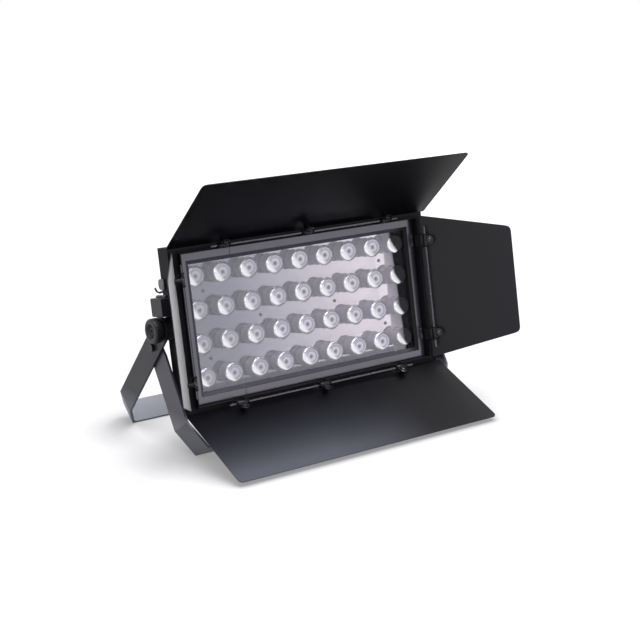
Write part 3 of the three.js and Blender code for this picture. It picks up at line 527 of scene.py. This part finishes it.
def lens_place(paint):
    """Where a point lies on its own lens: reach from the axis, way to the lit side, and column place.

    Reach and lit side are shares of the rim's radius. The column place runs from -1 to 1 over the field.
    """
    place = paint.vector_math("SUBTRACT", paint.place(), LIGHT_CENTRE, "Vector")
    up = paint.vector_math("DOT_PRODUCT", place, HEAD_TURN @ Vector((0, 0, 1)))
    across = paint.split(place)[0]
    u = ((across / COLUMN_PITCH + 0.5).fraction() - 0.5) * COLUMN_PITCH
    v = ((up / ROW_PITCH).fraction() - 0.5) * ROW_PITCH
    reach = (u * u + v * v) ** 0.5 / RIM_RADIUS
    lit_side = (u * LIT_SIDE_OF_LENS[0] + v * LIT_SIDE_OF_LENS[1]) / RIM_RADIUS
    return reach, lit_side, across / (COLUMNS / 2 * COLUMN_PITCH)


def lens_light(paint, base, lit_side, column):
    """Paints shade on the lenses of the left half, paints the last column dark with the shade of the
    right door, and paints a highlight on each lit side.
    """
    painted_highlight = (lit_side * 3.4 - 0.8).clamped()
    door_shaded_last_column = column > 1 - 2 / COLUMNS
    base = paint.mixed((column * -0.5).clamped(), base, tint(112, 112, 126))
    base = paint.mixed(door_shaded_last_column, base, tint(26, 25, 30))
    return paint.mixed(painted_highlight, base, tint(254, 253, 255))


def lens_face():
    """Clear face of a collimator, with painted rings of reflected light over its steps and a painted
    dark middle over the LED.
    """
    paint = Paint("lens_face")
    reach, lit_side, column = lens_place(paint)
    ringed = reach + (paint.noise(420.0, 4.0, 0.7) - 0.5) * 0.2
    # Painted reflected light in rings, dark in the middle
    base = paint.ramp(ringed, [
        (0.03, tint(62, 60, 72)),
        (0.16, tint(116, 113, 128)),
        (0.25, tint(196, 193, 204)),
        (0.4, tint(212, 210, 220)),
        (0.5, tint(164, 161, 174)),
        (0.6, tint(140, 137, 150)),
        (0.7, tint(196, 193, 204)),
    ])
    base = lens_light(paint, base, lit_side, column)
    return paint.finish(
        base_color=base, roughness=0.3, metallic=0.85, transmission_weight=0.1, ior=ACRYLIC_IOR
    )


def lens_rim():
    """Rounded clear shoulder of a collimator with a painted highlight on its edge."""
    paint = Paint("lens_rim")
    reach, lit_side, column = lens_place(paint)
    cloud = paint.noise(260.0, 2.0, 0.5)
    base = paint.ramp(reach, [
        (0.78, tint(146, 143, 156)),
        (0.88, tint(160, 157, 170)),
        (0.93, tint(236, 234, 242)),
    ])
    base = lens_light(paint, base, lit_side, column)
    sheen = 0.16 + cloud * 0.04
    return paint.finish(
        base_color=base, roughness=sheen, metallic=0.85, transmission_weight=0.2, ior=ACRYLIC_IOR
    )


def clear_lens():
    """Clear acrylic of the cones behind the lens faces."""
    paint = Paint("lens_clear")
    cloud = paint.noise(260.0, 2.0, 0.5)
    base = paint.mixed(cloud, tint(236, 234, 242), tint(248, 247, 252))
    sheen = 0.03 + cloud * 0.04
    return paint.finish(base_color=base, roughness=sheen, transmission_weight=1.0, ior=ACRYLIC_IOR)


def led_chip():
    """Mottled grey package of the LED."""
    paint = Paint("led_chip")
    cloud = paint.noise(1400.0, 1.0, 0.5)
    base = paint.mixed(cloud, tint(60, 62, 66), tint(120, 122, 124))
    return paint.finish(base_color=base, roughness=0.3)


def circuit_green():
    """Green lacquer of a circuit board, paler over its tracks."""
    paint = Paint("circuit_green")
    tracks = paint.ramp(paint.noise(240.0, 1.0, 0.4), [
        (0.48, tint(18, 52, 38)),
        (0.52, tint(28, 74, 52)),
    ])
    return paint.finish(base_color=tracks, roughness=0.45 + paint.noise(900.0) * 0.1)


def smoked_window():
    """Smoked cover of the display."""
    paint = Paint("smoked_window")
    cloud = paint.noise(120.0, 3.0, 0.5)
    base = paint.mixed(cloud, tint(8, 9, 11), tint(14, 15, 18))
    return paint.finish(base_color=base, roughness=0.08 + cloud * 0.05, coat_weight=0.5)


# Modelling helpers


def clear_selection():
    bpy.ops.object.select_all(action="DESELECT")


def pick(*pieces):
    clear_selection()
    for piece in pieces:
        piece.select_set(True)
    bpy.context.view_layer.objects.active = pieces[0]


def settle(piece, matrix):
    """Puts a piece in place and moves that place into its mesh."""
    piece.matrix_world = matrix
    pick(piece)
    bpy.ops.object.transform_apply(location=True, rotation=True, scale=True)
    return piece


def copy_of(piece, name):
    twin = piece.copy()
    twin.data = piece.data.copy()
    twin.name = name
    bpy.context.scene.collection.objects.link(twin)
    return twin


def joined(pieces, name):
    pick(*pieces)
    bpy.ops.object.join()
    whole = bpy.context.object
    whole.name = name
    return whole


def shaded(piece, degrees=35):
    pick(piece)
    bpy.ops.object.shade_smooth_by_angle(angle=math.radians(degrees))
    return piece


def softened(piece, width, segments=2):
    """Rounds the sharp edges of a piece."""
    pick(piece)
    bevel = piece.modifiers.new("soft_edges", "BEVEL")
    bevel.width = width
    bevel.segments = segments
    bevel.limit_method = "ANGLE"
    bevel.angle_limit = math.radians(40)
    bpy.ops.object.modifier_apply(modifier=bevel.name)
    return piece


def turned(name, profile, sides):
    """A solid turned about Z from a profile of (radius, height), from its foot round to its top."""
    clear_selection()
    radius, height = profile[0]
    bpy.ops.mesh.primitive_circle_add(
        vertices=sides, radius=radius, fill_type="NGON", location=(0, 0, height)
    )
    piece = bpy.context.object
    piece.name = name
    bpy.ops.object.transform_apply(location=True, rotation=True, scale=True)
    bpy.ops.object.mode_set(mode="EDIT")
    bpy.ops.mesh.select_all(action="SELECT")
    for next_radius, next_height in profile[1:]:
        rise = (0, 0, next_height - height)
        grow = next_radius / radius
        bpy.ops.mesh.extrude_region_move(TRANSFORM_OT_translate={"value": rise})
        bpy.ops.transform.resize(value=(grow, grow, 1))
        radius, height = next_radius, next_height
    bpy.ops.mesh.select_all(action="SELECT")
    bpy.ops.mesh.normals_make_consistent(inside=False)
    bpy.ops.object.mode_set(mode="OBJECT")
    return piece


def block(name, size, centre):
    """A rectangular bar or sheet."""
    clear_selection()
    bpy.ops.mesh.primitive_cube_add(size=1, location=centre)
    piece = bpy.context.object
    piece.name = name
    piece.scale = size
    bpy.ops.object.transform_apply(location=True, rotation=True, scale=True)
    return piece


def finish_zones(piece, materials, zone_of):
    """Gives each face the material that zone_of picks by the face's middle."""
    for material in materials:
        piece.data.materials.append(material)
    for face in piece.data.polygons:
        face.material_index = materials.index(zone_of(face.center))


def carve(piece, tool):
    """Cuts a tool out of a piece."""
    pick(piece)
    cutting = piece.modifiers.new("carve", "BOOLEAN")
    cutting.operation = "DIFFERENCE"
    cutting.solver = "EXACT"
    cutting.object = tool
    bpy.ops.object.modifier_apply(modifier=cutting.name)
    bpy.data.objects.remove(tool)


def fitted(piece, body, slot, *nodes):
    """Rides a finished piece on its body and hides the nodes that it stands for."""
    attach(piece, body)
    if nodes:
        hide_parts(*nodes)


# Optics


def lens_model():
    """One clear collimator: a rimmed front disc over a cone with a pocket for the LED."""
    pocket = [
        (0.4 * MM, -10.6 * MM),
        (2.6 * MM, -11.2 * MM),
        (4.3 * MM, -13 * MM),
        (4.7 * MM, LENS_FOOT),
    ]
    cone = [
        (5.9 * MM, LENS_FOOT),
        (8.6 * MM, -17.6 * MM),
        (11.2 * MM, -13.8 * MM),
        (13.2 * MM, -9.6 * MM),
        (14.2 * MM, -6.4 * MM),
        (14.8 * MM, RIM_BACK - 0.4 * MM),
    ]
    rim = [
        (RIM_RADIUS - 0.5 * MM, RIM_BACK),
        (RIM_RADIUS, RIM_BACK + 0.4 * MM),
        (RIM_RADIUS, RIM_BACK + 1.1 * MM),
    ]
    shoulder = [
        (17.3 * MM, -2.3 * MM),
        (16.4 * MM, -1.4 * MM),
        (15.3 * MM, -0.7 * MM),
        (14.2 * MM, -0.2 * MM),
        (13.7 * MM, 0),
    ]
    dished_face = [
        (FACE_RADIUS + 0.1 * MM, 0),
        (12.9 * MM, -0.4 * MM),
        (9 * MM, -0.8 * MM),
        (4.5 * MM, -1.3 * MM),
        (0.4 * MM, -1.5 * MM),
    ]
    lens = turned("lens", pocket + cone + rim + shoulder + dished_face, 48)

    def zone(place):
        if place.z < RIM_BACK - SEATING:
            return LENS_CLEAR
        return LENS_RIM if math.hypot(place.x, place.y) > FACE_RADIUS else LENS_FACE

    finish_zones(lens, [LENS_RIM, LENS_FACE, LENS_CLEAR], zone)
    return shaded(lens, 24)


def holder_model():
    """The cup that carries one lens, with the LED on its floor."""
    profile = [
        (HOLDER_RADIUS, HOLDER_FOOT),
        (HOLDER_RADIUS, RIM_BACK - SEATING),
        (HOLDER_RADIUS - HOLDER_WALL, RIM_BACK - SEATING),
        (HOLDER_RADIUS - HOLDER_WALL, -14 * MM),
        (9 * MM, CUP_FLOOR),
        (LED_RADIUS, CUP_FLOOR),
        (LED_RADIUS, CUP_FLOOR + LED_HEIGHT),
    ]
    holder = turned("holder", profile, 40)

    def zone(place):
        at_led = math.hypot(place.x, place.y) < LED_RADIUS + 0.1 * MM
        return LED_CHIP if at_led and place.z > HOLDER_FOOT + 1 * MM else HOLDER_PLASTIC_PAINTED_VEIL

    finish_zones(holder, [HOLDER_PLASTIC_PAINTED_VEIL, LED_CHIP], zone)
    return shaded(holder)


def led_board(z):
    """The board behind one row of lenses."""
    length = 2 * (column_place(COLUMNS - 1) + BOARD_END)
    thick = BOARD_FRONT - BOARD_BACK
    board = block("board", (length, BOARD_HEIGHT, thick), (0, 0, BOARD_BACK + thick / 2))
    board.data.materials.append(CIRCUIT_GREEN)
    return settle(softened(board, 0.3 * MM, 1), on_face(0, z))


def optics():
    """Four rows of lenses, each over a board that carries their holders."""
    lens = lens_model()
    holder = holder_model()
    for row in range(ROWS):
        number = row + 1
        lenses = []
        holders = []
        for column in range(COLUMNS):
            place = on_face(column_place(column), row_place(row))
            lenses.append(settle(copy_of(lens, f"lens_{row}_{column}"), place))
            holders.append(settle(copy_of(holder, f"holder_{row}_{column}"), place))
        fitted(joined(lenses, f"lenses_{number}"), "head_body", "lens_holder")
        holders.append(led_board(row_place(row)))
        backed = joined(holders, f"led_board_{number}")
        fitted(backed, "head_body", "lens_holder", f"led_row_{number}")
    bpy.data.objects.remove(lens)
    bpy.data.objects.remove(holder)


def reflector():
    """The bright plate with a round hole for each holder."""
    width, height = PLATE_HALF
    thick = PLATE_FRONT - PLATE_BACK
    plate = block("bright_plate", (2 * width, 2 * height, thick), (0, 0, PLATE_BACK + thick / 2))
    tools = []
    for row in range(ROWS):
        for column in range(COLUMNS):
            middle = (column_place(column), row_place(row), PLATE_BACK)
            clear_selection()
            bpy.ops.mesh.primitive_cylinder_add(
                vertices=40, radius=PLATE_HOLE_RADIUS, depth=3 * thick, location=middle
            )
            tools.append(bpy.context.object)
    carve(plate, joined(tools, "hole_tools"))
    softened(plate, 0.3 * MM, 1)
    plate.data.materials.append(POLISHED_PLATE)
    fitted(settle(plate, on_face(0, 0)), "head_body", "polished_plate", "reflector_plate")


def plate_screws():
    """Round-headed screws of the plate, each with a socket."""
    profile = [
        (3.1 * MM, PLATE_FRONT - 0.2 * MM),
        (3.1 * MM, PLATE_FRONT + 0.7 * MM),
        (2.5 * MM, PLATE_FRONT + 1.3 * MM),
        (1.5 * MM, PLATE_FRONT + 1.5 * MM),
        (1.3 * MM, PLATE_FRONT + 0.5 * MM),
    ]
    screw = turned("plate_screw", profile, 20)
    screw.data.materials.append(BLACK_STEEL)
    shaded(screw)
    screws = []
    for i, (x, z) in enumerate(PLATE_SCREWS):
        screws.append(settle(copy_of(screw, f"plate_screw_{i}"), on_face(x, z)))
    bpy.data.objects.remove(screw)
    fitted(joined(screws, "plate_screws"), "head_body", "dark_steel")


# Knobs and clips


def knob(word, side):
    """A clamping knob with a fluted rim and a dished face, drawn outward along Z."""
    low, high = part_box(f"knob_{word}")
    centre = (low + high) / 2
    radius = (high.y - low.y) / 2
    outer = high.x if side > 0 else -low.x
    profile = [
        (15 * MM, -18 * MM),
        (15 * MM, -15.4 * MM),
        (radius - 2.6 * MM, -15 * MM),
        (radius - 0.8 * MM, -14.2 * MM),
        (radius, -12.6 * MM),
        (radius, -2.6 * MM),
        (radius - 0.8 * MM, -0.8 * MM),
        (radius - 2.6 * MM, 0),
        (13.2 * MM, 0),
        (12.2 * MM, -0.6 * MM),
        (11.2 * MM, -4.6 * MM),
        (10.6 * MM, -5 * MM),
        (7.2 * MM, -5 * MM),
        (6.6 * MM, -3.2 * MM),
        (5.6 * MM, -2.8 * MM),
        (3.4 * MM, -2.8 * MM),
        (3.2 * MM, -4.2 * MM),
    ]
    piece = turned(f"clamp_knob_{word}", profile, 72)
    for vertex in piece.data.vertices:
        reach = math.hypot(vertex.co.x, vertex.co.y)
        if reach > radius - KNOB_RIM:
            angle = math.atan2(vertex.co.y, vertex.co.x)
            dip = 1 - KNOB_FLUTE_DEPTH / radius * (0.5 + 0.5 * math.cos(KNOB_FLUTES * angle))
            vertex.co.x *= dip
            vertex.co.y *= dip
    piece.data.materials.append(KNOB_PLASTIC)
    shaded(piece, 50)
    facing = Matrix.Rotation(math.radians(90 * side), 4, "Y")
    place = Matrix.Translation((side * outer, centre.y, centre.z)) @ facing
    fitted(settle(piece, place), f"knob_{word}_body", "black_plastic", f"knob_{word}")


def clip_tab():
    """The flat of a clip: square at the rod, at the origin, and round at the screw."""
    clear_selection()
    bpy.ops.mesh.primitive_cylinder_add(vertices=48, radius=CLIP_HALF, depth=CLIP_TAB)
    tab = bpy.context.object
    tab.name = "clip_tab"
    for vertex in tab.data.vertices:
        if vertex.co.y > TOUCH:
            on_middle = abs(vertex.co.x) < TOUCH
            vertex.co.x = 0 if on_middle else math.copysign(CLIP_HALF, vertex.co.x)
            vertex.co.y = CLIP_SCREW_REACH
    return settle(tab, Matrix.Translation((0, -CLIP_SCREW_REACH, 0)))


def clip_model():
    """A hinge clip: a tab and a barrel round the rod, with a post and a screw to the leaf."""
    leaf_back = LEAF_STANDOFF - CLIP_PLAY
    leaf_front = LEAF_STANDOFF + LEAF_THICKNESS
    barrel_profile = [
        (CLIP_BARREL, -CLIP_HALF),
        (CLIP_BARREL, CLIP_HALF),
    ]
    post_profile = [
        (CLIP_POST_RADIUS, 0),
        (CLIP_POST_RADIUS, leaf_back),
        (CLIP_SCREW_RADIUS, leaf_back),
        (CLIP_SCREW_RADIUS, leaf_front + CLIP_PLAY),
        (CLIP_POST_RADIUS, leaf_front + CLIP_PLAY),
        (CLIP_POST_RADIUS, leaf_front + 2.6 * MM),
        (CLIP_POST_RADIUS - 0.6 * MM, leaf_front + 3.2 * MM),
    ]
    head_profile = [
        (4.2 * MM, -0.5 * MM),
        (4.2 * MM, 2.3 * MM),
        (3.6 * MM, 3.1 * MM),
        (2.2 * MM, 3.4 * MM),
        (2.0 * MM, 1.6 * MM),
    ]
    barrel = softened(turned("clip_barrel", barrel_profile, 32), 0.5 * MM)
    settle(barrel, Matrix.Rotation(math.radians(90), 4, "Y"))
    reach = Matrix.Translation((0, -CLIP_SCREW_REACH, 0))
    post = settle(turned("clip_post", post_profile, 24), reach)
    head = settle(turned("clip_head", head_profile, 24), reach @ Matrix.Rotation(math.pi, 4, "X"))
    tab = softened(clip_tab(), 0.3 * MM)
    for piece in (barrel, post, tab):
        piece.data.materials.append(CLIP_STEEL)
    head.data.materials.append(SCREW_STEEL)
    return shaded(joined([tab, barrel, post, head], "hinge_clip"))


def hinge_clips():
    """Copies of the clip along each door's rod, turned with the door."""
    clip = clip_model()
    for name, turn, opening, places in DOORS:
        rod = Matrix.Translation(joint_named(f"{name}_door_hinge")["pos_m"])
        side = HEAD_TURN @ Matrix.Rotation(math.radians(turn), 4, "Y")
        door = rod @ side @ Matrix.Rotation(-math.radians(opening), 4, "X")
        for number, x in enumerate(places, 1):
            piece = copy_of(clip, f"clip_dress_{name}_{number}")
            settle(piece, door @ Matrix.Translation((x, 0, 0)))
            fitted(piece, f"{name}_door", "hinge_steel", f"clip_{name}_{number}")
    bpy.data.objects.remove(clip)


# Finishes of the CAD nodes


GREY_COAT = coated_sheet(
    "grey_coat", tint(26, 25, 33), tint(34, 33, 42), roughness=0.38, grain=0.2, edge=0.8 * MM,
    shine=0.28, foot=tint(106, 109, 119)
)
# Paler copy of the grey coat for the stand yoke: painted light
LIT_STAND_COAT = coated_sheet(
    "lit_stand_coat", tint(62, 61, 72), tint(72, 71, 82), roughness=0.38, grain=0.2, edge=0.8 * MM,
    shine=0.4, foot=tint(128, 129, 134)
)
# Darker copy of the grey coat for the front frame: painted shade
SHADED_FRAME_COAT = coated_sheet(
    "shaded_frame_coat", tint(9, 9, 12), tint(15, 15, 19), roughness=0.6, grain=0.15, edge=0.6 * MM,
    shine=0.15
)
TRAY_COAT = coated_sheet(
    "tray_coat", tint(6, 6, 8), tint(11, 11, 13), roughness=0.5, grain=0.2, edge=0.6 * MM,
    shine=0.1
)
CASE_COAT = coated_sheet(
    "case_coat", tint(24, 24, 26), tint(34, 34, 37), roughness=0.55, grain=0.4, edge=1.0 * MM
)
SINK_COAT = coated_sheet(
    "sink_coat", tint(26, 26, 28), tint(38, 38, 41), roughness=0.45, grain=0.15, edge=0.4 * MM
)
CLIP_STEEL = coated_sheet(
    "clip_steel", tint(9, 9, 11), tint(15, 15, 18), roughness=0.25, grain=0.1, edge=0.3 * MM,
    shine=0.3
)
# Copies of one black door paint: the side doors' copy is paler, as painted light, and adds a dusty sheen
TOP_LEAF_COAT = leaf_coat("top_leaf_coat", tint(8, 8, 12), tint(13, 13, 18), shine=0.12)
BOTTOM_LEAF_COAT = leaf_coat(
    "bottom_leaf_coat", tint(8, 8, 12), tint(13, 13, 18), shine=0.2, painted_light_pool=0.85
)
LIT_SIDE_LEAF_COAT = leaf_coat(
    "lit_side_leaf_coat", tint(18, 18, 23), tint(26, 26, 32), shine=0.25, dust_and_sheen=0.5
)
BEZEL_COAT = bezel_coat()
ROD_STEEL = turned_steel("rod_steel", tint(112, 112, 120), roughness=0.26)
SCREW_STEEL = turned_steel("screw_steel", tint(60, 60, 62), roughness=0.2)
BLACK_STEEL = turned_steel("black_steel", tint(38, 38, 40), roughness=0.35)
GASKET_RUBBER = gasket_rubber()
# Black holders painted pale grey-violet: a painted reflection, the glass's veil over them
HOLDER_PLASTIC_PAINTED_VEIL = moulded("holder_plastic_painted_veil", tint(140, 132, 150), tint(150, 142, 160), grain=0.03)
BLACK_PLASTIC = moulded("black_plastic", tint(24, 24, 26), tint(34, 34, 36))
KNOB_PLASTIC = knob_plastic()
POLISHED_PLATE = polished_plate()
FRONT_GLASS = front_glass()
LENS_RIM = lens_rim()
LENS_FACE = lens_face()
LENS_CLEAR = clear_lens()
LED_CHIP = led_chip()
CIRCUIT_GREEN = circuit_green()
SMOKED_WINDOW = smoked_window()

NODE_FINISHES = {
    "main_yoke": GREY_COAT,
    "stand_yoke": LIT_STAND_COAT,
    "front_frame": SHADED_FRAME_COAT,
    "frame_bracket": GREY_COAT,
    "bezel": BEZEL_COAT,
    "glass_gasket": GASKET_RUBBER,
    "front_glass": FRONT_GLASS,
    "tray": TRAY_COAT,
    "driver_case": CASE_COAT,
    "heat_sink": SINK_COAT,
    "reflector_plate": POLISHED_PLATE,
    "led_row": HOLDER_PLASTIC_PAINTED_VEIL,
    "leaf": LIT_SIDE_LEAF_COAT,
    "leaf_top": TOP_LEAF_COAT,
    "leaf_bottom": BOTTOM_LEAF_COAT,
    "clip": CLIP_STEEL,
    "hinge_rod": ROD_STEEL,
    "stand_bolt": BLACK_STEEL,
    "spring_clip": ROD_STEEL,
    "safety_eye": BLACK_STEEL,
    "power_supply": ROD_STEEL,
    "control_unit": CIRCUIT_GREEN,
    "display_window": SMOKED_WINDOW,
    "pivot_hub": BLACK_PLASTIC,
    "knob": KNOB_PLASTIC,
    "button": BLACK_PLASTIC,
    "power": BLACK_PLASTIC,
    "signal": BLACK_PLASTIC,
}


def finish_nodes():
    """Gives each CAD node the finish whose name begins its own. The longest name wins."""
    for name, node in frame["nodes"].items():
        stem = max((key for key in NODE_FINISHES if name.startswith(key)), key=len)
        node.data.materials.clear()
        node.data.materials.append(NODE_FINISHES[stem])


# Studio


FLOOR_RADIUS = 5.0
FLOOR_WHITE_FROM = 0.9
WORLD_FILL = (0.36, 0.355, 0.42, 1)

# Painted contact shadow: the floor glows less where the lamp stands close over it, from hidden to open
# sky
CONTACT_REACH = 110 * MM
CONTACT_GLOW = [
    (0.0, grey(0.3)),
    (0.55, grey(0.34)),
    (0.8, grey(0.46)),
    (0.92, grey(0.62)),
    (1.0, grey(0.78)),
]

# Name, place, target, size and power of each studio lamp
MIDDLE = (0, 0, 0.2)
LAMPS = [
    ("top_right", (0.9, -0.3, 2.9), MIDDLE, (1.4, 1.0), 70),
    ("top", (-0.4, -0.2, 3.0), MIDDLE, (2.4, 2.4), 80),
    ("front_top", (-0.3, -1.6, 2.6), MIDDLE, (1.6, 1.2), 24),
    ("front_left", (-2.2, -2.2, 1.6), MIDDLE, (1.5, 1.5), 8),
]


def camera():
    """The photograph's view, from a place solved against the lens field."""
    lens = bpy.data.cameras.new("camera")
    lens.lens = CAMERA_LENS
    lens.sensor_width = SENSOR_WIDTH
    lens.clip_start = 50 * MM
    lens.clip_end = 60
    body = bpy.data.objects.new("camera", lens)
    bpy.context.scene.collection.objects.link(body)
    body.rotation_mode = "QUATERNION"
    body.location = LIGHT_CENTRE + CAMERA_FROM_LENSES
    body.rotation_quaternion = CAMERA_FORWARD.to_track_quat("-Z", "Y")
    bpy.context.scene.camera = body


def lamp(name, place, target, size, power):
    """A rectangular soft light that faces its target."""
    light = bpy.data.lights.new(name, "AREA")
    light.shape = "RECTANGLE"
    light.size, light.size_y = size
    light.energy = power
    stand = bpy.data.objects.new(name, light)
    bpy.context.scene.collection.objects.link(stand)
    stand.location = place
    stand.rotation_mode = "QUATERNION"
    stand.rotation_quaternion = (Vector(target) - Vector(place)).to_track_quat("-Z", "Y")


def studio_world():
    """White to the eye and in reflections, and a cool grey where it lights the lamp."""
    world = bpy.data.worlds.new("studio")
    bpy.context.scene.world = world
    sky = Paint("studio", world)
    colour = sky.mixed(sky.seen(), WORLD_FILL, WHITE)
    shader = sky.make("ShaderNodeBackground", {}, {"Color": colour, "Strength": 1.0})
    sky.close(shader, "ShaderNodeOutputWorld")


def floor():
    """Floor that glows white, with a painted shadow where the lamp stands close over it, and runs out
    into pure white.
    """
    clear_selection()
    bpy.ops.mesh.primitive_circle_add(vertices=96, radius=FLOOR_RADIUS, fill_type="NGON")
    ground = bpy.context.object
    ground.name = "studio_floor"
    paint = Paint("studio_floor")
    seen = paint.seen()
    reach = paint.vector_math("LENGTH", paint.place())
    outward = ((reach - FLOOR_WHITE_FROM) / (FLOOR_RADIUS - FLOOR_WHITE_FROM)).clamped()
    nearby = {"Distance": CONTACT_REACH}
    open_sky = paint.make("ShaderNodeAmbientOcclusion", {"samples": 32}, nearby, "AO")
    contact_shadow_glow = paint.split(paint.ramp(open_sky, CONTACT_GLOW))[0]
    base = paint.mixed(seen, tint(122, 122, 124), tint(118, 118, 120))
    lit = paint.make("ShaderNodeBsdfDiffuse", {}, {"Color": base})
    strength = seen * (contact_shadow_glow + outward)
    glow = paint.make("ShaderNodeEmission", {}, {"Color": WHITE, "Strength": strength})
    paint.close(paint.make("ShaderNodeAddShader", {}, {0: lit, 1: glow}))
    ground.data.materials.append(paint.material)


def build():
    """Finishes the nodes, adds the fine parts and sets up the studio."""
    finish_nodes()
    optics()
    reflector()
    plate_screws()
    knob("left", -1)
    knob("right", 1)
    hinge_clips()
    camera()
    studio_world()
    floor()
    for setting in LAMPS:
        lamp(*setting)
    bpy.context.scene.view_settings.view_transform = "Standard"


build()
